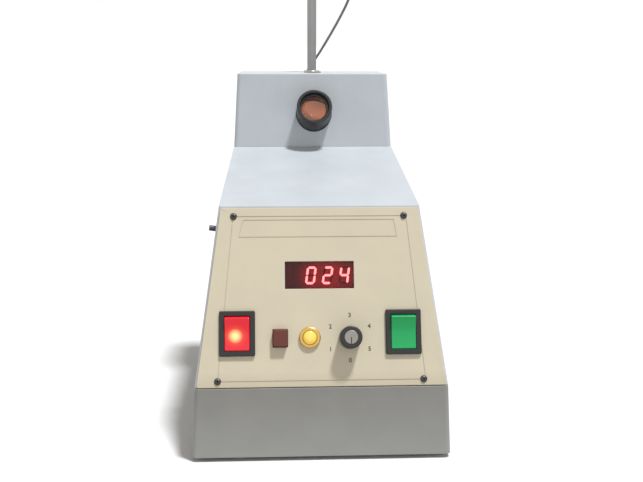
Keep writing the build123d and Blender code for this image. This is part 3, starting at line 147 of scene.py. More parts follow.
# %% A socket that can be used in a formula
class Reading:
    """One output of a node that can be used in a formula."""

    def __init__(self, tree, socket):
        self.tree = tree
        self.socket = socket

    def math(self, operation, *values):
        """The result of a Math node on these values."""
        node = self.tree.nodes.new("ShaderNodeMath")
        node.operation = operation
        for socket, value in zip(node.inputs, values):
            join(self.tree, socket, value)
        return Reading(self.tree, node.outputs[0])

    def __add__(self, other):
        return self.math("ADD", self, other)

    def __sub__(self, other):
        return self.math("SUBTRACT", self, other)

    def __rsub__(self, other):
        return self.math("SUBTRACT", other, self)

    def __mul__(self, other):
        return self.math("MULTIPLY", self, other)

    def __truediv__(self, other):
        return self.math("DIVIDE", self, other)

    def __pow__(self, other):
        return self.math("POWER", self, other)

    def __gt__(self, other):
        return self.math("GREATER_THAN", self, other)

    def __lt__(self, other):
        return self.math("LESS_THAN", self, other)

    __radd__ = __add__
    __rmul__ = __mul__

    def kept(self):
        """The value, kept between 0 and 1."""
        return self.math("MINIMUM", self.math("MAXIMUM", self, 0.0), 1.0)


def join(tree, socket, value):
    """Links a reading to a socket, or writes a plain value into it."""
    if isinstance(value, Reading):
        tree.links.new(value.socket, socket)
    elif isinstance(value, tuple) and len(value) == 3 and socket.type == "RGBA":
        socket.default_value = (*value, 1.0)
    else:
        socket.default_value = value


def input_of(node, label):
    """An input by its name, with _ for a space, or by its number, such as i0."""
    numbered = label[0] == "i" and label[1:].isdigit()
    return node.inputs[int(label[1:]) if numbered else label.replace("_", " ")]


def srgb(red, green, blue):
    """A colour as a screen shows it, 0 to 255, turned into light."""
    parts = [part / 255 for part in (red, green, blue)]
    return tuple(p / 12.92 if p <= 0.04045 else ((p + 0.055) / 1.055) ** 2.4 for p in parts)


# %% A finish, with one method for any node
class Finish:
    """A material with its main shader, and ways to add detail to it."""

    def __init__(self, name, colour, roughness=0.5, metallic=0.0, **more):
        self.material = bpy.data.materials.new(name)
        self.material.use_nodes = True
        self.tree = self.material.node_tree
        self.shader = self.tree.nodes["Principled BSDF"]
        self.set(Base_Color=colour, Roughness=roughness, Metallic=metallic, **more)

    def set(self, **values):
        """Links or writes sockets of the main shader."""
        for label, value in values.items():
            join(self.tree, input_of(self.shader, label), value)

    def light_up(self, colour, strength):
        """Makes the surface give light of its own."""
        self.set(Emission_Color=colour, Emission_Strength=strength)

    def tone(self):
        """The colour that the shader has so far."""
        return Reading(self.tree, self.shader.inputs["Base Color"].links[0].from_socket)

    def node(self, kind, settings, output, **values):
        """Adds a node of a type with its settings, and gives back one of its outputs."""
        made = self.tree.nodes.new("ShaderNode" + kind)
        for name, value in settings.items():
            setattr(made, name, value)
        for label, value in values.items():
            join(self.tree, input_of(made, label), value)
        return Reading(self.tree, made.outputs[output])

    def where(self):
        """Place on the object, in metres."""
        return self.node("TexCoord", {}, "Object")

    def stretched(self, scale):
        """Place on the object, stretched for a pattern with a direction."""
        return self.node("Mapping", {}, "Vector", Vector=self.where(), Scale=scale)

    def seen_from(self, origin, size=(1, 1, 1)):
        """Place in a frame that lies along the panel, with an origin and sizes in metres."""
        return self.node("Mapping", {"vector_type": "TEXTURE"}, "Vector", Vector=self.where(),
                         Location=origin, Rotation=(panel_slope, 0, 0), Scale=size)

    def noise(self, scale, detail=3.0, roughness=0.55, vector=None):
        """A soft cloudy pattern; scale is in spots per metre."""
        return self.node("TexNoise", {}, 0, Vector=vector or self.where(), Scale=scale,
                         Detail=detail, Roughness=roughness)

    def blend(self, amount, first, second):
        """One colour turning into another."""
        return self.node("Mix", {"data_type": "RGBA"}, 2, i0=amount, i6=first, i7=second)

    def relief(self, height, distance, strength):
        """Small bumps from a height between 0 and 1; distance in metres."""
        self.set(Normal=self.node("Bump", {}, "Normal", Height=height, Distance=distance,
                                  Strength=strength))


# %% [markdown]
# ## The paints
# The housing is sheet metal with a light grey stove enamel. Close up, such paint has
# a very fine orange peel and a soft cloudiness. The base tray has the same paint in a
# darker, warmer grey, with painted shade towards its upper edge. The panel is a little
# darker low down, and a painted shade line runs along its upper edge. A picture of paint
# would do as well, but noise on Object coordinates needs no picture and no unwrapping.


# %% Enamel of the housing, the base and the panel
def enamel(name, colour, roughness, peel=2e-5, cloud=0.04):
    """Stove enamel: orange peel, faint clouds and slightly duller patches."""
    paint = Finish(name, colour, roughness)
    soft = paint.noise(38.0, 4.0)
    darker = tuple(part * (1 - 2 * cloud) for part in colour)
    lighter = tuple(min(1.0, part * (1 + cloud)) for part in colour)
    paint.set(Base_Color=paint.blend((soft * 1.6 - 0.3).kept(), darker, lighter))
    fine = paint.noise(1500.0, 2.0)
    paint.set(Roughness=(fine * 0.10 + soft * 0.10 + (roughness - 0.10)).kept())
    paint.relief(paint.noise(900.0, 2.0), peel, 0.5)
    return paint


light_grey = enamel("light_grey_enamel", srgb(204, 210, 216), 0.42)
base_grey = enamel("base_grey_enamel", srgb(179, 179, 176), 0.45)
cream = enamel("cream_panel_enamel", srgb(228, 217, 192), 0.38, peel=1e-5, cloud=0.025)
print("enamels:", light_grey.material.name, base_grey.material.name, cream.material.name)

# %% Painted shade: the base is darker towards its upper edge
shade_low, shade_high = 0.006, 0.052
height = base_grey.node("SeparateXYZ", {}, "Z", Vector=base_grey.where())
raised = ((height - shade_low) / (shade_high - shade_low)).kept()
# painted shade: up to a tenth darker at the top, where less light bounces up from the floor
shade = base_grey.blend(raised, (0.0, 0.0, 0.0), (0.10, 0.105, 0.11))
base_grey.set(Base_Color=base_grey.node("VectorMath", {"operation": "SUBTRACT"}, "Vector",
                                        i0=base_grey.tone(), i1=shade))
print("base shaded from", shade_low, "to", shade_high, "m")

# %% Painted shade line on the panel's upper edge, and the panel darker low down
shade_line_from = (panel_length - 0.4) * 0.001
low_band = 0.012
up_slope = cream.node("SeparateXYZ", {}, "Y", Vector=cream.seen_from(in_room(0, 0)))
# painted shade: a dark line along the top edge of the panel, where it meets the shelf
shade_line_mask = ((up_slope - shade_line_from) * 5000.0).kept()
low_edge = (1.0 - up_slope / low_band).kept() * 0.5
darker_low = cream.blend(low_edge, cream.tone(), srgb(196, 184, 160))
cream.set(Base_Color=cream.blend(shade_line_mask, darker_low, srgb(150, 138, 118)))
print("panel darker below", low_band, "and above", shade_line_from, "m")

# %% [markdown]
# ## Plastics, rubber and metals
# Moulded plastic has a fine spark-eroded grain. Drawn steel has long faint scratches,
# and plated metal an even, silky grain, which is the same noise, stretched less. Each
# is one formula with its own colour, so the pieces that share a real finish also share
# a material.


# %% Plastics and rubber
def moulded(name, colour, roughness, grain=1.2e-5, spots=2600.0):
    """Moulded plastic: fine grain, and a little unevenness of colour."""
    plastic = Finish(name, colour, roughness)
    soft = plastic.noise(60.0, 3.0)
    lighter = tuple(min(1.0, part * 1.25 + 0.004) for part in colour)
    plastic.set(Base_Color=plastic.blend((soft * 0.8).kept(), colour, lighter))
    grainy = plastic.noise(spots, 2.0)
    plastic.set(Roughness=(grainy * 0.18 + (roughness - 0.09)).kept())
    plastic.relief(grainy, grain, 0.6)
    return plastic


black_plastic = moulded("black_plastic", srgb(34, 33, 33), 0.42)
knob_black = moulded("knob_black_plastic", srgb(40, 39, 38), 0.36)
hold_brown = moulded("brown_plastic", srgb(98, 44, 32), 0.40)
rubber = moulded("black_rubber", srgb(30, 30, 30), 0.80, grain=3e-5, spots=1400.0)
spacer_white = moulded("white_nylon", srgb(206, 203, 192), 0.5)
lead_grey = moulded("grey_lead_sheath", srgb(120, 120, 120), 0.5)
black_metal = moulded("black_anodised", srgb(33, 31, 30), 0.34, grain=8e-6, spots=3200.0)
ceramic = moulded("white_ceramic", srgb(214, 207, 192), 0.7, grain=3e-5, spots=900.0)
digit_dark = moulded("unlit_segment", srgb(70, 26, 28), 0.5)
module_black = moulded("display_module_face", srgb(60, 16, 20), 0.5)
print("materials so far:", len(bpy.data.materials))


# %% Metals
def metal(name, colour, roughness, marks=(1.0, 1.0, 1.0), depth=4e-6):
    """Bare or plated metal; marks stretch its fine scratches along an axis."""
    bare = Finish(name, colour, roughness, 1.0)
    marked = bare.noise(900.0, 3.0, 0.6, bare.stretched(marks))
    cloudy = bare.noise(70.0, 3.0)
    dull = tuple(part * 0.82 for part in colour)
    bare.set(Base_Color=bare.blend((cloudy * 1.4 - 0.2).kept(), dull, colour))
    bare.set(Roughness=(marked * 0.22 + cloudy * 0.08 + (roughness - 0.14)).kept())
    bare.relief(marked, depth, 0.5)
    return bare


bright_steel = metal("bright_steel", (0.34, 0.34, 0.335), 0.34, marks=(1, 1, 0.04))
dark_steel = metal("dark_steel", (0.10, 0.10, 0.10), 0.42)
silver = metal("turned_aluminium", (0.35, 0.33, 0.295), 0.38)
gold = metal("golden_anodised", (0.72, 0.50, 0.17), 0.28)
copper = metal("copper", (0.86, 0.28, 0.14), 0.34)
# painted light: the copper block gives a faint light of its own, which brightens it as seen
# through the eyepiece
copper.light_up((0.80, 0.22, 0.10), 0.10)
tin = metal("tinned_brass", (0.52, 0.50, 0.45), 0.34)
core_iron = metal("core_iron", (0.20, 0.20, 0.21), 0.5, marks=(1, 1, 12))
print("materials so far:", len(bpy.data.materials))

# %% Board, winding and ink
board_green = Finish("board_green", srgb(28, 84, 52), 0.35)
board_green.set(Base_Color=board_green.node(
    "TexBrick", {"offset": 0.35}, "Color", Vector=board_green.where(), Scale=60.0,
    Color1=srgb(36, 104, 62), Color2=srgb(30, 92, 55), Mortar=srgb(24, 70, 44)))
board_green.relief(board_green.noise(400.0), 1e-5, 0.4)
winding = Finish("enamelled_wire", srgb(150, 84, 34), 0.35, 0.6)
turns = winding.node("TexWave", {"bands_direction": "Z"}, 1, Vector=winding.where(),
                     Scale=420.0, Distortion=0.6)
winding.relief(turns, 2e-4, 0.7)
winding.set(Base_Color=winding.blend(turns, srgb(96, 50, 20), srgb(190, 112, 48)))


def printed(name, thin, thick):
    """Ink that lies a little thicker in some spots than in others."""
    film = Finish(name, thin, 0.55)
    film.set(Base_Color=film.blend(film.noise(900.0), thin, thick))
    return film


ink = printed("brown_ink", srgb(104, 86, 72), srgb(140, 120, 100))
dark_ink = printed("dark_ink", srgb(60, 50, 46), srgb(92, 78, 70))
print("materials so far:", len(bpy.data.materials))

# %% [markdown]
# ## Lit and clear pieces
# Red, yellow and green parts are dyed acrylic. The lit ones glow from inside. A real
# lamp behind clear plastic would be slow to render and grainy, so their finish gives
# some light of its own, which fades from the lamp's place towards the rim.


# %% A glow that fades from a point
def glow(finish, centre, reach, core, inner, outer, power):
    """Emission that fades from a lamp at a centre to the outer colour at a reach."""
    shift = finish.node("VectorMath", {"operation": "DISTANCE"}, "Value",
                        i0=finish.where(), i1=centre)
    near = (1.0 - shift / reach).kept()
    halo = finish.blend(near ** 1.4, outer, inner)
    hot = ((near - 0.40) * 2.2).kept()
    finish.light_up(finish.blend(hot, halo, core), power)


rocker_red = Finish("lit_red_acrylic", srgb(170, 16, 34), 0.22, Coat_Weight=0.3)
glow(rocker_red, in_room(-60.2, 37.0, 1.5), 0.0092, srgb(255, 255, 170), srgb(255, 110, 36),
     srgb(190, 8, 26), 1.0)
lens_yellow = Finish("yellow_acrylic", srgb(244, 206, 84), 0.16, Coat_Weight=0.5)
glow(lens_yellow, in_room(*lamp_place, 3.0), 0.0065, srgb(255, 238, 150), srgb(255, 230, 120),
     srgb(222, 176, 64), 0.35)
rocker_green = Finish("green_acrylic", srgb(22, 150, 84), 0.24, Coat_Weight=0.15)
rocker_green.set(Base_Color=rocker_green.blend(rocker_green.noise(60.0), srgb(0, 160, 84),
                                               srgb(4, 174, 96)))
# painted light: the green rocker gives a faint light of its own
rocker_green.light_up(srgb(0, 190, 100), 0.10)
print("glowing:", rocker_red.material.name, lens_yellow.material.name)

# %% Clear pieces, lit bars, the lamp and a painted glow behind the digits
window_red = Finish("red_acrylic_window", (0.75, 0.12, 0.13), 0.05, Transmission_Weight=1.0,
                    IOR=1.36)
clear_glass = Finish("clear_glass", (0.97, 0.99, 0.98), 0.03, Transmission_Weight=1.0,
                     IOR=1.45)
digit_lit = Finish("lit_segment", srgb(255, 90, 90), 0.4)
digit_lit.light_up(srgb(255, 236, 230), 5.6)
lamp_lit = Finish("lit_lamp_glass", srgb(255, 236, 200), 0.2)
lamp_lit.light_up(srgb(255, 214, 160), 6.0)
# painted light: the module's face glows red around the lit digits, as if their light spread
# behind the window
painted_glow_middle = in_room(6.0, window_place[1], digit_plane)
painted_glow_place = module_black.seen_from(painted_glow_middle, (0.026, 0.014, 0.014))
painted_glow = (1.0 - module_black.node("VectorMath", {"operation": "LENGTH"}, "Value",
                                 i0=painted_glow_place)).kept()
module_black.light_up(module_black.blend((painted_glow * 1.8).kept(), (0.0, 0.0, 0.0),
                                         (1.0, 0.05, 0.07)), 0.24)
print("materials:", len(bpy.data.materials))

# %% [markdown]
# ## Painting the solid model
# Many solids already have the right form. They stay where they are and only get their
# finish, by the name of the piece.

# %% Give each solid its finish
finishes = {
    base_grey: ["base_tray"],
    light_grey: ["housing_cover", "head_cover"],
    cream: ["front_panel"],
    rubber: ["rubber_feet", "lead_grommet", "probe_boot"],
    dark_steel: ["case_screws", "head_screws", "side_screw", "panel_screws", "fan_guard",
                 "fan_screws", "block_bracket", "lens_ring"],
    window_red: ["display_window"],
    black_plastic: ["mains_switch_body", "fan_switch_body",
                    "hold_button_body", "fan_frame", "fan_rotor", "mains_inlet",
                    "fuse_holder", "fuse_cap", "lamp_holder", "board_parts"],
    module_black: ["display_module"],
    digit_dark: ["display_digits"],
    board_green: ["display_board", "main_board"],
    spacer_white: ["display_spacers", "board_spacers"],
    rocker_red: ["mains_rocker"],
    rocker_green: ["fan_rocker"],
    hold_brown: ["hold_button"],
    gold: ["indicator_bezel"],
    lens_yellow: ["indicator_lens"],
    tin: ["indicator_nut", "control_nut", "inlet_pins", "probe_gland"],
    bright_steel: ["heat_control", "temperature_probe", "heater_cartridges"],
    knob_black: ["control_knob"],
    silver: ["knob_cap", "heat_sink", "capillary_guide"],
    black_metal: ["eyepiece_bush", "eyepiece_tube"],
    clear_glass: ["eyepiece_lens"],
    copper: ["heating_block"],
    ceramic: ["block_insulator"],
    lamp_lit: ["lamp"],
    lead_grey: ["probe_lead"],
    core_iron: ["transformer_core"],
    winding: ["transformer_winding"],
}
for finish, names in finishes.items():
    for name in names:
        mesh = nodes[name].data
        mesh.materials.clear()
        mesh.materials.append(finish.material)
unpainted = set(nodes) - {name for names in finishes.values() for name in names}
print("unpainted:", sorted(unpainted))

# %% [markdown]
# ## Making a piece
# Every piece made here ends the same way: its mesh gets smooth shading with sharp
# edges kept, and the object rides on its body and stands for the solid that it
# replaces.


# %% Finish a piece and hand it over
def hand_over(name, mesh, finish, body, slot, *replaced, sharp=35.0):
    """Links a finished mesh as a piece of the object."""
    mesh.name = name
    mesh.materials.clear()
    mesh.materials.append(finish.material)
    if sharp:
        mesh.shade_smooth()
        mesh.set_sharp_from_angle(angle=radians(sharp))
    piece = bpy.data.objects.new(name, mesh)
    scene.collection.objects.link(piece)
    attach(piece, body)
    if replaced:
        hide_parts(*replaced)
    print(name, "has", len(mesh.polygons), "faces")


def form_to_mesh(form, name, place):
    """Turns a form in millimetres on a plane into a mesh in metres in the room."""
    bmesh.ops.remove_doubles(form, verts=form.verts, dist=1e-4)
    bmesh.ops.recalc_face_normals(form, faces=form.faces)
    mesh = bpy.data.meshes.new(name)
    form.to_mesh(mesh)
    form.free()
    mesh.transform(place)
    return mesh


# %% Work out what modifiers, texts and trees make
def carried(data):
    """A passing object that holds a mesh or a text while it is worked out."""
    carrier = bpy.data.objects.new("carrier", data)
    scene.collection.objects.link(carrier)
    return carrier


def worked_out(carrier):
    """The plain mesh that a passing object comes to; the object goes."""
    bpy.context.view_layer.update()
    ready = carrier.evaluated_get(bpy.context.evaluated_depsgraph_get())
    mesh = bpy.data.meshes.new_from_object(ready)
    bpy.data.objects.remove(carrier)
    return mesh


def with_modifiers(mesh, *steps):
    """The plain result of modifiers on a mesh; a step is a type and its settings."""
    carrier = carried(mesh)
    for kind, settings in steps:
        modifier = carrier.modifiers.new(kind, kind)
        for setting, value in settings.items():
            setattr(modifier, setting, value)
    return worked_out(carrier)


# %% [markdown]
# ## Softened edges
# Folded and moulded edges are never knife sharp, and the thin bright line along them
# is most of what makes a box look real. A copy of the solid is merged, its flat faces
# are joined, and a narrow bevel rounds every edge. Normals that follow the largest
# faces then keep the walls beside the bevel flat.


# %% Round the edges of a copy of a solid
def rounding(width, steps, angle, **more):
    """A bevel on every edge that is sharper than an angle; width in millimetres."""
    return "BEVEL", {"width": width * 0.001, "segments": steps, "limit_method": "ANGLE",
                     "angle_limit": radians(angle), "use_clamp_overlap": False, **more}


flat_walls = ("WEIGHTED_NORMAL", {"mode": "FACE_AREA", "weight": 100, "keep_sharp": False})


def softened(node, width):
    """A merged copy of a solid with every sharp edge rounded; width in millimetres."""
    form = bmesh.new()
    form.from_mesh(nodes[node].data)
    bmesh.ops.remove_doubles(form, verts=form.verts, dist=2e-6)
    bmesh.ops.dissolve_limit(form, angle_limit=radians(0.6), verts=form.verts,
                             edges=form.edges)
    mesh = bpy.data.meshes.new(node)
    form.to_mesh(mesh)
    form.free()
    mesh.shade_smooth()
    return with_modifiers(mesh, rounding(width, 2, 30.0, miter_outer="MITER_ARC"), flat_walls)


soft_edges = [
    ("base_tray", 0.35, base_grey, "housing_grey"),
    ("housing_cover", 0.35, light_grey, "housing_grey"),
    ("head_cover", 0.35, light_grey, "housing_grey"),
    ("front_panel", 0.35, cream, "panel_cream"),
    ("mains_switch_body", 0.25, black_plastic, "black_plastic"),
    ("fan_switch_body", 0.25, black_plastic, "black_plastic"),
    ("mains_inlet", 0.25, black_plastic, "black_plastic"),
    ("fan_frame", 0.3, black_plastic, "black_plastic"),
    ("side_screw", 0.15, dark_steel, "dark_steel"),
    ("probe_gland", 0.15, tin, "steel"),
    ("fuse_cap", 0.3, black_plastic, "black_plastic"),
]
for name, width, finish, slot in soft_edges:
    hand_over(name + "_soft", softened(name, width), finish, "instrument", slot, name,
              sharp=None)

# %% [markdown]
# ## The display
# Three of the four digits are lit. A digit is seven slanted bars with pointed ends.
# It could be cut out of a plate, but a small prism for each bar is simpler and lets
# the lit and the unlit bars be two pieces, each with its own finish.

# %% Bars of the digits
bar_width = 1.5
bar_thickness = 0.15
bar_gap = 0.25
digit_size = (7.0, 12.7)
digit_pitch = 12.0
digit_lean = tan(radians(8.0))
bar_x = digit_size[0] / 2 - bar_width / 2
bar_y = digit_size[1] / 2 - bar_width / 2
flat_bar = digit_size[0] - bar_width - bar_gap
tall_bar = (digit_size[1] - bar_width) / 2 - bar_gap
bars = {
    "top": (0, bar_y, flat_bar, False),
    "middle": (0, 0, flat_bar, False),
    "bottom": (0, -bar_y, flat_bar, False),
    "right_high": (bar_x, bar_y / 2, tall_bar, True),
    "right_low": (bar_x, -bar_y / 2, tall_bar, True),
    "left_high": (-bar_x, bar_y / 2, tall_bar, True),
    "left_low": (-bar_x, -bar_y / 2, tall_bar, True),
}
lit_bars = [
    (),
    ("top", "bottom", "right_high", "right_low", "left_high", "left_low"),
    ("top", "middle", "bottom", "right_high", "left_low"),
    ("middle", "right_high", "right_low", "left_high"),
]
print("lit bars:", sum(len(lit) for lit in lit_bars))


# %% Lit and unlit bars
def bar_outline(middle_x, middle_y, length, upright):
    """The six corners of one bar of a digit."""
    reach = length / 2
    half = bar_width / 2
    corners = [(0, reach), (half, reach - half), (half, half - reach), (0, -reach),
               (-half, half - reach), (-half, reach - half)]
    if not upright:
        corners = [(y, -x) for x, y in corners]
    return [(middle_x + x + (middle_y + y) * digit_lean, middle_y + y) for x, y in corners]


def prism(form, outline, low, high):
    """Adds a flat shape between two heights to a form."""
    top = [form.verts.new((x, y, high)) for x, y in outline]
    foot = [form.verts.new((x, y, low)) for x, y in outline]
    form.faces.new(top)
    form.faces.new(foot[::-1])
    for k in range(len(outline)):
        form.faces.new((top[k - 1], top[k], foot[k], foot[k - 1]))


lit_form = bmesh.new()
dark_form = bmesh.new()
for place, lit in enumerate(lit_bars):
    across = window_place[0] + digit_pitch * (place - 1.5)
    for bar, shape in bars.items():
        outline = [(across + x, window_place[1] + y) for x, y in bar_outline(*shape)]
        prism(lit_form if bar in lit else dark_form, outline, digit_plane,
              digit_plane + bar_thickness)
for name, form, finish in (("lit_bars", lit_form, digit_lit),
                           ("dark_bars", dark_form, digit_dark)):
    hand_over(name, form_to_mesh(form, name, panel), finish, "instrument", "digit_red",
              "display_digits")

# %% [markdown]
# ## Growing repeats with Geometry Nodes
# Screws, wire rings, blades, flutes and printed lines repeat or follow a rule or a
# path. Each could be copied by hand, but a tree makes them all from a few sizes. A
# small class builds such a tree: its sizes are named inputs, and it always ends in
# Realize Instances and Set Material, because only plain geometry is kept.


# %% A tree of geometry nodes with named sizes
class Recipe:
    """A Geometry Nodes tree that is built in a few lines."""

    def __init__(self, name, **sizes):
        self.tree = bpy.data.node_groups.new(name, "GeometryNodeTree")
        face = self.tree.interface
        face.new_socket("Geometry", in_out="INPUT", socket_type="NodeSocketGeometry")
        face.new_socket("Geometry", in_out="OUTPUT", socket_type="NodeSocketGeometry")
        for label, value in sizes.items():
            kind = "NodeSocketInt" if isinstance(value, int) else "NodeSocketFloat"
            face.new_socket(label, in_out="INPUT", socket_type=kind).default_value = value
        start = self.tree.nodes.new("NodeGroupInput")
        self.end = self.tree.nodes.new("NodeGroupOutput")
        self.given = Reading(self.tree, start.outputs["Geometry"])
        self.sizes = [Reading(self.tree, start.outputs[label]) for label in sizes]

    def add(self, kind, settings=None, output=0, **values):
        """Adds a node with its settings, fills its inputs, and gives back one output."""
        made = self.tree.nodes.new(kind)
        for setting, value in (settings or {}).items():
            setattr(made, setting, value)
        for label, value in values.items():
            for part in value if isinstance(value, list) else [value]:
                join(self.tree, input_of(made, label), part)
        return Reading(self.tree, made.outputs[output])

    def maths(self, operation, *values):
        """One sum that has no sign of its own."""
        inputs = {f"i{k}": value for k, value in enumerate(values)}
        return self.add("ShaderNodeMath", {"operation": operation}, **inputs)

    def vector(self, **parts):
        """A vector from some of its parts X, Y and Z."""
        return self.add("ShaderNodeCombineXYZ", **parts)

    def spots(self, count):
        """Points at the origin, one for each copy."""
        return self.add("GeometryNodeMeshLine", {"mode": "OFFSET"}, Count=count,
                        Offset=(0.0, 0.0, 0.0))

    def copies(self, points, form, **how):
        """One copy of a form on each point, scaled or turned as it is told."""
        return self.add("GeometryNodeInstanceOnPoints", Points=points, Instance=form, **how)

    def swept(self, path, profile):
        """A profile swept along a path, with closed ends."""
        return self.add("GeometryNodeCurveToMesh", Curve=path, Profile_Curve=profile,
                        Fill_Caps=True)

    def close(self, geometry, finish):
        """Ends the tree: real geometry with its material."""
        real = self.add("GeometryNodeRealizeInstances", Geometry=geometry)
        painted = self.add("GeometryNodeSetMaterial", Geometry=real,
                           Material=finish.material)
        join(self.tree, self.end.inputs[0], painted)


def grown(recipe, given, place, edges=(), **sizes):
    """Runs a recipe on points in millimetres, or on a mesh, and gives back a plain mesh."""
    seeds = given
    if isinstance(given, list):
        seeds = bpy.data.meshes.new("seeds")
        seeds.from_pydata([tuple(point) for point in given], list(edges), [])
    carrier = carried(seeds)
    modifier = carrier.modifiers.new("recipe", "NODES")
    modifier.node_group = recipe.tree
    for item in recipe.tree.interface.items_tree:
        if item.in_out == "INPUT" and item.name in sizes:
            modifier[item.identifier] = sizes[item.name]
    form = bmesh.new()
    form.from_mesh(worked_out(carrier))
    return form_to_mesh(form, "grown", place)


# %% [markdown]
# ## Printed lines of the panel
# The panel has a thin brown line around it and an empty frame where a title can go.
# Ink is a film that stands a few hundredths of a millimetre proud, so each line is a
# flat strip swept along its path.

# %% A recipe for a printed line
line_recipe = Recipe("printed_line", Width=0.5, Film=0.06)
line_width, film = line_recipe.sizes
path = line_recipe.add("GeometryNodeMeshToCurve", Mesh=line_recipe.given)
strip = line_recipe.add("GeometryNodeCurvePrimitiveQuadrilateral", Width=film,
                        Height=line_width)
line_recipe.close(line_recipe.swept(path, strip), ink)
ink_lift = 0.02

# %% Border and title frame
border_low, border_high = low_screws[1], high_screws[1]
border = [(-72.8, border_low), (74.2, border_low), (63.0, border_high), (-61.8, border_high)]
title = [(-57.7, 107.5), (55.9, 107.5), (54.1, 119.8), (-54.5, 119.8)]
for name, corners, width in (("border_line", border, 0.45), ("title_frame", title, 0.40)):
    count = len(corners)
    ring = [(k, (k + 1) % count) for k in range(count)]
    points = [(u, v, ink_lift) for u, v in corners]
    hand_over(name, grown(line_recipe, points, panel, ring, Width=width), ink, "instrument",
              "panel_cream")

# %% [markdown]
# ## Numbers of the heat control
# The knob points at a ring of plain numbers. Each is a text, made a flat mesh with
# the thickness of ink, and all six are one piece.

# %% Print the numbers
number_ring = 16.0
number_height = 3.0
digit_share = 0.7
number_form = bmesh.new()
for value in range(6):
    angle = radians(-90 - 60 * value)
    written = bpy.data.curves.new("number", "FONT")
    written.body = str(value)
    written.size = number_height / digit_share
    written.align_x = "CENTER"
    written.align_y = "CENTER"
    written.extrude = 0.03
    written.offset = 0.10
    mesh = worked_out(carried(written))
    mesh.transform(Matrix.Translation((knob_place[0] + number_ring * cos(angle),
                                       knob_place[1] + number_ring * sin(angle), ink_lift)))
    number_form.from_mesh(mesh)
hand_over("dial_numbers", form_to_mesh(number_form, "dial_numbers", panel), dark_ink,
          "instrument", "panel_cream")

# %% [markdown]
# ## Turned pieces
# Lenses, rings, tubes and knobs are all turned about an axis on the real object, so a
# profile of radius and height is spun here too. A corner may carry a rounding of its
# own, because a real lathe tool never leaves a knife edge.


# %% Round the corners of a profile and spin it
def eased(corners, steps=4):
    """A profile whose corners (radius, height, rounding) are replaced by small arcs."""
    points = []
    for k, (radius, height, ease) in enumerate(corners):
        here = Vector((radius, height))
        if not ease:
            points.append((radius, height))
            continue
        before = Vector(corners[k - 1][:2]) - here
        after = Vector(corners[(k + 1) % len(corners)][:2]) - here
        first = here + before.normalized() * ease
        last = here + after.normalized() * ease
        for step in range(steps + 1):
            t = step / steps
            bend = first * (1 - t) ** 2 + here * 2 * t * (1 - t) + last * t * t
            points.append(tuple(bend))
    return points


def spun(profile, steps=96, closed=False):
    """A form turned about the z axis from (radius, height) pairs in millimetres."""
    form = bmesh.new()
    rings = []
    for radius, height in profile + profile[:1] * closed:
        count = 1 if radius < 1e-6 else steps
        rings.append([form.verts.new((radius * cos(2 * pi * k / steps),
                                      radius * sin(2 * pi * k / steps), height))
                      for k in range(count)])
    for low, high in zip(rings, rings[1:]):
        for k in range(steps):
            following = (k + 1) % steps
            corners = [low[k % len(low)], low[following % len(low)],
                       high[following % len(high)], high[k % len(high)]]
            corners = list(dict.fromkeys(corners))
            if len(corners) > 2:
                form.faces.new(corners)
    return form


def turned(name, profile, place, finish, body, slot, *replaced, steps=96, closed=False,
           sharp=35.0):
    """Spins a profile in its place and hands the piece over."""
    mesh = form_to_mesh(spun(profile, steps, closed), name, place)
    hand_over(name, mesh, finish, body, slot, *replaced, sharp=sharp)


# %% [markdown]
# ## The eyepiece
# The tube is black anodised aluminium. Inside, in front of the lens, it is cut with
# fine threads that swallow stray light, which is why a good eyepiece looks deep black.
# A picture of threads would lie flat, so the profile has real ones.

# %% Tube of the eyepiece
eyepiece_rise = 27.5
eyepiece_tilt = radians(25.0)
eye = upright_on((head_x, shelf_y + eyepiece_rise * tan(head_lean), shelf_z + eyepiece_rise),
                 (1, 0, 0), (0, -cos(eyepiece_tilt), sin(eyepiece_tilt)))
tube_radius = 14.5
tube_bore = 11.6
rear_bore = 10.5
tube_front = 16.0
tube_back = -12.0
lens_seat = 8.0
thread_depth = 0.22
thread_top = tube_front - 1.0
threads = 4
tube_profile = eased([(rear_bore, tube_back, 0.2), (tube_radius, tube_back, 0.4),
                      (tube_radius, tube_front, 0.7), (tube_bore + 0.5, tube_front, 0.3)])
for ridge in range(threads):
    height = thread_top - ridge
    tube_profile += [(tube_bore, height), (tube_bore + thread_depth, height - 0.5)]
tube_profile += [(tube_bore, thread_top - threads), (tube_bore, lens_seat),
                 (rear_bore, lens_seat)]
turned("eyepiece_barrel", tube_profile, eye, black_metal, "eyepiece", "black_metal",
       "eyepiece_tube", closed=True, sharp=30.0)

# %% Lens and the ring that holds it
lens_radius = 11.58
lens_clear = 10.38
lens_bulge = 1.6
lens_edge = 2.0
lens_front = lens_seat + lens_edge
lens_steps = 12
front_arc = []
for step in range(lens_steps + 1):
    radius = lens_clear * step / lens_steps
    front_arc.append((radius, lens_front + lens_bulge * (1 - (radius / lens_clear) ** 2)))
back_arc = [(radius, lens_seat + lens_front - height) for radius, height in front_arc]
lens_profile = front_arc + [(lens_radius, lens_front), (lens_radius, lens_seat)]
turned("eyepiece_glass", lens_profile + back_arc[::-1], eye, clear_glass, "eyepiece",
       "clear_glass", "eyepiece_lens")
ring_width, ring_height = 1.1, 1.8
ring_inside = lens_radius - ring_width
ring_front = lens_front + ring_height
ring_profile = eased([(ring_inside, lens_front, 0), (lens_radius, lens_front, 0),
                      (lens_radius, ring_front, 0.1), (ring_inside, ring_front, 0.5)])
turned("lens_retainer", ring_profile, eye, dark_steel, "eyepiece", "dark_steel", "lens_ring",
       closed=True)
print("eyepiece at:", eye @ Vector((0, 0, tube_front)))

# %% [markdown]
# ## The knob
# The knob is turned plastic with flutes for the fingers. The flutes follow a rule, a
# cosine around the axis, so a Geometry Nodes tree presses them into the spun form.
# Their depth and count, and the height where they stop, are inputs.

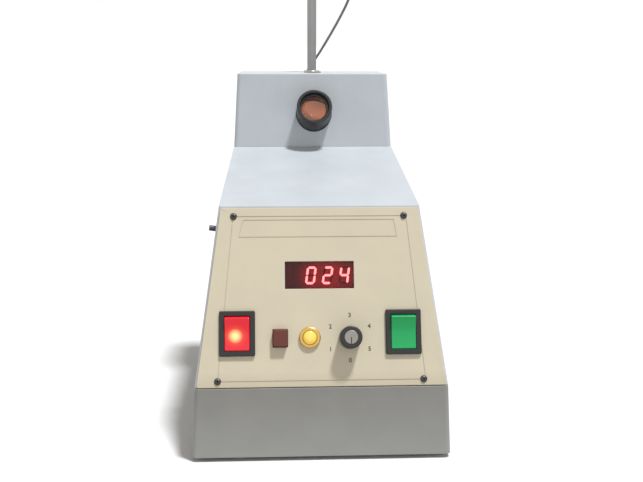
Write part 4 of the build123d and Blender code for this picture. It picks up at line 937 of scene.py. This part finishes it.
# %% A recipe for flutes
knob = seat_at(knob_place)
knob_radius = 7.95
knob_top = 13.0
flutes = Recipe("knob_flutes", Count=24.0, Depth=0.4, Radius=knob_radius, Top=11.5)
flute_count, flute_depth, flute_radius, flute_top = flutes.sizes
spot = flutes.add("GeometryNodeInputPosition")
x, y, z = [flutes.add("ShaderNodeSeparateXYZ", None, part, Vector=spot) for part in "XYZ"]
wave = flutes.maths("COSINE", flutes.maths("ARCTAN2", y, x) * flute_count)
groove = flutes.maths("MAXIMUM", wave, 0.0) ** 1.5
reach = flutes.add("ShaderNodeVectorMath", {"operation": "LENGTH"}, 1,
                   i0=flutes.vector(X=x, Y=y))
outer = reach > flute_radius - 0.1
pressed = (groove * outer) * ((z < flute_top) * flute_depth)
share = pressed * -1.0 / flute_radius
flutes.close(flutes.add("GeometryNodeSetPosition", Geometry=flutes.given,
                        Offset=flutes.vector(X=x * share, Y=y * share)), knob_black)

# %% Fluted knob and the paint in its pointer
shaft_radius, shaft_end = 2.0, -6.0
hollow_radius, hollow_top = 5.75, 6.6
skirt_foot = 0.6
cap_radius, cap_seat = 4.9, 11.8
knob_profile = eased([(0, shaft_end, 0), (shaft_radius, shaft_end, 0),
                      (shaft_radius, hollow_top, 0), (hollow_radius, hollow_top, 0),
                      (hollow_radius, skirt_foot, 0), (knob_radius, skirt_foot, 0.3),
                      (knob_radius, 11.6, 0), (knob_radius, knob_top, 1.2),
                      (cap_radius, knob_top, 0.2), (cap_radius - 0.08, cap_seat, 0),
                      (0, cap_seat, 0)])
blank = form_to_mesh(spun(knob_profile, steps=192), "knob", Matrix.Identity(4))
hand_over("knob_grip", grown(flutes, blank, knob), knob_black, "knob", "black_plastic",
          "control_knob", sharp=40.0)
pointer_form = bmesh.new()
half_line, line_reach = 0.35, 4.6
prism(pointer_form, [(-half_line, -line_reach), (half_line, -line_reach), (half_line, 0),
                     (-half_line, 0)], knob_top + 0.05, knob_top + 0.22)
hand_over("pointer_paint", form_to_mesh(pointer_form, "pointer", knob), knob_black, "knob",
          "black_plastic")

# %% [markdown]
# ## Indicator lamp
# A domed yellow lens sits in a golden bezel. The dome is spun from a quarter of an
# ellipse, and the bezel has a rounded rim with a small bevel where the lens drops in.

# %% Bezel and lens
lamp_seat = seat_at(lamp_place)
rim_radius, rim_top = 7.7, 2.4
barrel_radius, barrel_end = 5.9, -16.0
seat_radius, seat_floor = 5.0, -6.0
bezel_profile = eased([(seat_radius, seat_floor, 0), (seat_radius, rim_top - 0.5, 0),
                       (seat_radius + 0.4, rim_top, 0.2), (rim_radius, rim_top, 1.4),
                       (rim_radius, 0, 0), (barrel_radius, 0, 0),
                       (barrel_radius, barrel_end, 0), (0, barrel_end, 0),
                       (0, seat_floor, 0)])
turned("indicator_rim", bezel_profile, lamp_seat, gold, "instrument", "gold",
       "indicator_bezel")
dome_radius, dome_foot, dome_rise = 4.8, 2.3, 2.25
dome = [(0, seat_floor), (dome_radius, seat_floor), (dome_radius, dome_foot)]
for turn in range(9, 90, 9):
    dome.append((dome_radius * cos(radians(turn)), dome_foot + dome_rise * sin(radians(turn))))
dome.append((0, dome_foot + dome_rise))
turned("indicator_dome", dome, lamp_seat, lens_yellow, "instrument", "yellow_lens",
       "indicator_lens")

# %% [markdown]
# ## Probe and boot
# The probe is a steel tube that stands in a round gland. The boot where the lead
# leaves is soft rubber with grooves that let it bend. Both are round all the way, so
# both are spun, the boot with the grooves in its profile.

# %% Probe and boot
stem = upright_on((head_x, probe_y, 0), (1, 0, 0), (0, 0, 1))
probe_radius = 3.9
probe_above = 62.0
foot_above_shelf = 12.0
probe_top = head_top_z + probe_above
probe_foot = shelf_z + foot_above_shelf
stem_profile = eased([(0, probe_foot, 0), (probe_radius, probe_foot, 1.5),
                      (probe_radius, probe_top, 0.7), (0, probe_top, 0)])
turned("probe_stem", stem_profile, stem, bright_steel, "instrument", "steel",
       "temperature_probe")
boot_top = probe_top + 9.0
groove_pitch = 1.5
groove_depth = 0.35
boot_profile = [(0, probe_top), (2.6, probe_top)]
for groove in range(5):
    height = probe_top + 1.0 + groove_pitch * groove
    radius = 2.58 - 0.10 * groove
    boot_profile += [(radius, height), (radius - groove_depth, height + 0.3),
                     (radius - groove_depth, height + 0.7), (radius, height + 1.0)]
boot_profile += [(1.97, boot_top), (0, boot_top)]
turned("probe_sleeve", boot_profile, stem, rubber, "instrument", "rubber", "probe_boot",
       steps=48)
print("probe reaches:", probe_top, "mm")

# %% [markdown]
# ## Rocker switches
# A rocker is a slab of dyed acrylic with a hollow top, so that a finger finds its ends.
# Its side view is drawn and pushed through the width, then every edge is rounded.


# %% Rockers
def side_frame(side):
    """Plane through a switch: x up the slope, y out of the panel, z to the right."""
    along = Vector((0, cos(panel_slope), sin(panel_slope)))
    place = Matrix((along, Vector(panel_out), Vector((1, 0, 0)))).transposed().to_4x4()
    place.translation = in_room(side * switch_place[0], switch_place[1], rocker_lift)
    return place @ Matrix.Scale(0.001, 4)


rocker_lift = 0.4
rocker_reach = 12.1
rocker_half = 8.7
rocker_crown = 2.4
rocker_foot = 5.0
rocker_lean = radians(9.0)
tip_turn = radians(20)
belly_turns = [radians(turn) for turn in (10, 0, -7, -14)]
tip = (rocker_reach * cos(tip_turn), rocker_reach * sin(tip_turn))
rocker_side = []
for step in range(-12, 13):
    rocker_side.append((tip[0] * step / 12,
                        rocker_crown + (tip[1] - rocker_crown) * (step / 12) ** 2))
for turn in belly_turns:
    rocker_side.append((rocker_reach * cos(turn), rocker_reach * sin(turn)))
rocker_side += [(rocker_foot, -rocker_foot), (-rocker_foot, -rocker_foot)]
for turn in belly_turns[::-1]:
    rocker_side.append((-rocker_reach * cos(turn), rocker_reach * sin(turn)))
for side, name, finish, slot in ((-1, "mains_rocker", rocker_red, "red_lens"),
                                 (1, "fan_rocker", rocker_green, "green_rocker")):
    form = bmesh.new()
    prism(form, rocker_side, -rocker_half, rocker_half)
    leaned = side_frame(side) @ Matrix.Rotation(rocker_lean, 4, "Z")
    mesh = form_to_mesh(form, name, leaned)
    mesh.shade_smooth()
    mesh = with_modifiers(mesh, rounding(0.5, 3, 35), flat_walls)
    hand_over(name + "_paddle", mesh, finish, name + "_body", slot, name, sharp=None)

# %% [markdown]
# ## Screws
# All the visible screws are the same kind, a low domed head with a cross. One recipe
# makes the head from a squashed sphere, cuts the cross, adds the shank and puts a copy
# on every point.

# %% A recipe for cross head screws
screw = Recipe("cross_head_screw", Head=2.5, Rise=1.6, Slot=0.6, Shank=1.36, Length=9.0)
head, dome_height, slot_width, shank_radius, length = screw.sizes


def moved(recipe, geometry, shift):
    """Geometry moved by a vector."""
    return recipe.add("GeometryNodeTransform", Geometry=geometry, Translation=shift)


ball = screw.add("GeometryNodeMeshUVSphere", Segments=40, Rings=24, Radius=1.0)
head_form = screw.add("GeometryNodeTransform", Geometry=ball,
                      Scale=screw.vector(X=head, Y=head, Z=dome_height))
long_side = head * 1.15
cutters = []
for bar_sides in ((long_side, slot_width), (slot_width, long_side)):
    bar = screw.add("GeometryNodeMeshCube", Size=screw.vector(X=bar_sides[0], Y=bar_sides[1],
                                                              Z=dome_height))
    cutters.append(moved(screw, bar, screw.vector(Z=dome_height)))
under = screw.add("GeometryNodeMeshCube", Size=(20.0, 20.0, 20.0))
cutters.append(moved(screw, under, (0.0, 0.0, -10.0)))
cut = screw.add("GeometryNodeMeshBoolean", {"operation": "DIFFERENCE"}, i0=head_form,
                i1=cutters)
rod = screw.add("GeometryNodeMeshCylinder", Vertices=24, Radius=shank_radius, Depth=length)
shank = moved(screw, rod, screw.vector(Z=length * -0.5))
whole = screw.add("GeometryNodeJoinGeometry", Geometry=[cut, shank])
screw.close(screw.copies(screw.given, whole), dark_steel)

# %% Screws of the panel and of the fan
panel_screw_places = [(side * u, v, 0) for u, v in (low_screws, high_screws)
                      for side in (-1, 1)]
hand_over("panel_screw_set", grown(screw, panel_screw_places, panel), dark_steel,
          "instrument", "dark_steel", "panel_screws")
fan_z = 140.0
fan_face_y = rear_foot_y - (fan_z - base_z) * tan(rear_lean)
fan_face = upright_on((0, fan_face_y, fan_z), (-1, 0, 0), (0, cos(rear_lean), sin(rear_lean)))
wire = 1.6
fan_screw_reach = 25.0
fan_screw_places = [(x * fan_screw_reach, y * fan_screw_reach, wire)
                    for x in (-1, 1) for y in (-1, 1)]
hand_over("fan_screw_set", grown(screw, fan_screw_places, fan_face, Head=3.4, Rise=2.0,
                                 Slot=0.8, Shank=2.0, Length=19.0),
          dark_steel, "instrument", "dark_steel", "fan_screws")

# %% [markdown]
# ## Finger guard of the fan
# Three wire rings, four spokes and an eye at each screw. The tree makes centre lines
# only, and one round profile is swept along all of them, so the wire is equally thick.

# %% Wire guard
guard = Recipe("wire_guard", First=9.0, Step=7.0, Rings=3, Wire=1.6, Corner=35.36, Eye=3.2)
first_ring, ring_step, ring_count, wire_size, corner, eye_radius = guard.sizes
index = guard.add("GeometryNodeInputIndex")
ring_radius = index * ring_step + first_ring
loop = guard.add("GeometryNodeCurvePrimitiveCircle", Resolution=72, Radius=1.0)
rings = guard.copies(guard.spots(ring_count), loop,
                     Scale=guard.vector(X=ring_radius, Y=ring_radius, Z=1.0))
spoke = guard.add("GeometryNodeCurvePrimitiveLine", Start=guard.vector(X=first_ring),
                  End=guard.vector(X=corner - eye_radius))
eye_loop = guard.add("GeometryNodeCurvePrimitiveCircle", Resolution=32, Radius=eye_radius)
arm = guard.add("GeometryNodeJoinGeometry",
                Geometry=[spoke, moved(guard, eye_loop, guard.vector(X=corner))])
arms = guard.copies(guard.spots(4), arm, Rotation=guard.vector(Z=index * (pi / 2) + pi / 4))
lines = guard.add("GeometryNodeRealizeInstances",
                  Geometry=guard.add("GeometryNodeJoinGeometry", Geometry=[rings, arms]))
round_wire = guard.add("GeometryNodeCurvePrimitiveCircle", Resolution=10,
                       Radius=wire_size * 0.5)
guard.close(guard.swept(lines, round_wire), dark_steel)
raised = fan_face @ Matrix.Translation((0, 0, wire / 2))
hand_over("fan_finger_guard", grown(guard, [(0, 0, 0)], raised, Wire=wire), dark_steel,
          "instrument", "dark_steel", "fan_guard")

# %% [markdown]
# ## Fan wheel
# Seven blades stand around a hub. A blade is a thin sheet, steeper at its root than at
# its tip. One is made on its own, and the recipe sets it around the axis.

# %% One blade
root_radius, tip_radius = 11.2, 26.6
root_pitch, pitch_drop = 52.0, 22.0
root_chord, chord_gain = 7.0, 4.2
camber_height = 0.9
blade_steps = 8
blade_form = bmesh.new()
sheet = []
for i in range(blade_steps + 1):
    radius = root_radius + (tip_radius - root_radius) * i / blade_steps
    pitch = radians(root_pitch - pitch_drop * i / blade_steps)
    row = []
    for j in range(blade_steps + 1):
        t = j / blade_steps - 0.5
        chord = t * (root_chord + chord_gain * i / blade_steps)
        camber = camber_height * (1 - 4 * t * t)
        row.append(blade_form.verts.new((radius, chord * cos(pitch) - camber * sin(pitch),
                                         chord * sin(pitch) + camber * cos(pitch))))
    sheet.append(row)
for i in range(blade_steps):
    for j in range(blade_steps):
        blade_form.faces.new((sheet[i][j], sheet[i + 1][j], sheet[i + 1][j + 1],
                              sheet[i][j + 1]))
blade = form_to_mesh(blade_form, "blade", Matrix.Identity(4))
blade = with_modifiers(blade, ("SOLIDIFY", {"thickness": 1.1, "offset": 0.0}))
print("faces of a blade:", len(blade.polygons))

# %% Blades and hub
wheel = Recipe("fan_wheel", Blades=7)
blade_count = wheel.sizes[0]
turn = wheel.add("GeometryNodeInputIndex") * (2 * pi) / blade_count
wheel.close(wheel.copies(wheel.spots(blade_count), wheel.given,
                         Rotation=wheel.vector(Z=turn)), black_plastic)
hub_low, hub_high, hub_radius = -13.9, -3.9, 12.0
axle_radius, axle_end = 1.5, -17.3
dish_radius, dish_depth = 7.4, 0.4
middle = fan_face @ Matrix.Translation((0, 0, (hub_low + hub_high) / 2))
hub_profile = eased([(0, axle_end, 0), (axle_radius, axle_end, 0), (axle_radius, hub_low, 0),
                     (hub_radius, hub_low, 0.3), (hub_radius, hub_high, 1.2),
                     (dish_radius + 0.6, hub_high, 0.2),
                     (dish_radius, hub_high - dish_depth, 0.1),
                     (0, hub_high - dish_depth, 0)])
wheel_form = bmesh.new()
wheel_form.from_mesh(grown(wheel, blade, middle))
wheel_form.from_mesh(form_to_mesh(spun(hub_profile), "hub", fan_face))
hand_over("fan_wheel_blades", form_to_mesh(wheel_form, "wheel", Matrix.Identity(4)),
          black_plastic, "fan_wheel", "black_plastic", "fan_rotor")

# %% [markdown]
# ## The lead of the probe
# A thin lead leaves the top of the probe, bends over and goes back into the head. Its
# line is a smooth curve drawn by the same points as the solid's. They are listed one
# by one, because a hanging lead follows no simple rule.

# %% Where the lead goes in
grommet_x = head_x - 14.9
grommet_rise = 30.0
head_inset = 2.0
head_rear_lean = radians(3.0)
head_rear_y = rear_foot_y - (shelf_z - base_z) * tan(rear_lean) - head_inset
grommet_y = head_rear_y - grommet_rise * tan(head_rear_lean)
grommet_z = shelf_z + grommet_rise


def behind(reach):
    """A point straight out of the grommet."""
    return (grommet_x, grommet_y + reach * cos(head_rear_lean),
            grommet_z + reach * sin(head_rear_lean))


print("grommet at:", grommet_x, grommet_y, grommet_z)

# %% Lead as a curve
lead_points = [
    (head_x, probe_y, boot_top),
    (head_x, probe_y, probe_top + 20.5),
    (head_x + 4.1, probe_y + 1.0, probe_top + 31.8),
    (head_x + 19.1, probe_y + 6.5, probe_top + 36.8),
    (head_x + 34.1, probe_y + 16.5, probe_top + 26.8),
    (head_x + 37.1, probe_y + 25.5, probe_top + 6.8),
    (head_x + 25.1, probe_y + 31.0, probe_top - 18.1),
    (head_x + 8.4, probe_y + 35.8, probe_top - 46.4),
    (head_x - 2.8, probe_y + 38.0, probe_top - 62.4),
    (head_x - 13.4, probe_y + 42.0, probe_top - 79.2),
    behind(13.7),
    behind(3.0),
]
lead_diameter = 0.0022
lead_curve = bpy.data.curves.new("probe_lead_sheath", "CURVE")
lead_curve.dimensions = "3D"
route = lead_curve.splines.new("NURBS")
route.points.add(len(lead_points) - 1)
for point, (x, y, z) in zip(route.points, lead_points):
    point.co = (x * 0.001, y * 0.001, z * 0.001, 1)
route.order_u = 3
route.use_endpoint_u = True
route.resolution_u = 16
lead_curve.bevel_depth = lead_diameter / 2
lead_curve.bevel_resolution = 6
lead_curve.use_fill_caps = True
lead_curve.materials.append(lead_grey.material)
lead = bpy.data.objects.new("probe_lead_sheath", lead_curve)
scene.collection.objects.link(lead)
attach(lead, "instrument")
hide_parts("probe_lead")
tuple(c * 0.001 for c in lead_points[0])

# %% [markdown]
# ## The table and the light
# The photograph has a white ground. A pale floor keeps the soft shadow, and the world
# shows white behind it only to the camera, to shiny things and through glass. One high
# lamp, slightly to the right and in front, gives the long shadows under the eyepiece
# and the knob. Its light is a little cool and the world's a little warm.

# %% Floor
floor_mesh = bpy.data.meshes.new("floor")
floor_form = bmesh.new()
bmesh.ops.create_grid(floor_form, x_segments=8, y_segments=8, size=30.0)
floor_form.to_mesh(floor_mesh)
floor_form.free()
floor = bpy.data.objects.new("floor", floor_mesh)
scene.collection.objects.link(floor)
floor_paint = Finish("floor_white", (0.6, 0.6, 0.6), 0.9, Specular_IOR_Level=0.0)
direct = floor_paint.node("LightPath", {}, "Is Camera Ray")
floor_paint.set(Base_Color=floor_paint.blend(direct, (0.62, 0.62, 0.62), (0.97, 0.97, 0.97)))
floor_mesh.materials.append(floor_paint.material)
print("floor of", floor_paint.material.name)

# %% World
world = bpy.data.worlds.new("studio")
scene.world = world
world.use_nodes = True
sky = world.node_tree
ground = sky.nodes["Background"]
white = sky.nodes.new("ShaderNodeBackground")
for background, colour, strength in ((ground, (1.0, 0.955, 0.90), 0.34),
                                     (white, (1.0, 1.0, 1.0), 1.0)):
    join(sky, background.inputs["Color"], colour)
    join(sky, background.inputs["Strength"], strength)
ray = sky.nodes.new("ShaderNodeLightPath")
seen = Reading(sky, ray.outputs["Is Camera Ray"])
for kind in ("Is Glossy Ray", "Is Transmission Ray"):
    seen = seen.math("MAXIMUM", seen, Reading(sky, ray.outputs[kind]))
choose = sky.nodes.new("ShaderNodeMixShader")
for k, socket in enumerate((seen.socket, ground.outputs[0], white.outputs[0])):
    sky.links.new(socket, choose.inputs[k])
sky.links.new(choose.outputs[0], sky.nodes["World Output"].inputs[0])
print("world:", world.name)


# %% Lamps
def lamp(name, kind, energy, direction, place=(0, 0, 0)):
    """A lamp of a kind that shines in a direction from a place."""
    light = bpy.data.lights.new(name, kind)
    light.energy = energy
    stand = Vector(direction).to_track_quat("-Z", "Y").to_matrix().to_4x4()
    stand.translation = place
    carrier = bpy.data.objects.new(name, light)
    carrier.matrix_world = stand
    scene.collection.objects.link(carrier)
    return light


key_light = lamp("key", "SUN", 2.75, (-0.26, 0.16, -1.0))
key_light.angle = radians(7.0)
key_light.color = (0.96, 0.985, 1.0)
fill_place = Vector((0.2, -1.6, 0.7))
fill_light = lamp("fill", "AREA", 0.6, Vector((0, 0, 0.12)) - fill_place, fill_place)
fill_light.shape = "SQUARE"
fill_light.size = 1.2
print("lamps:", len(bpy.data.lights))
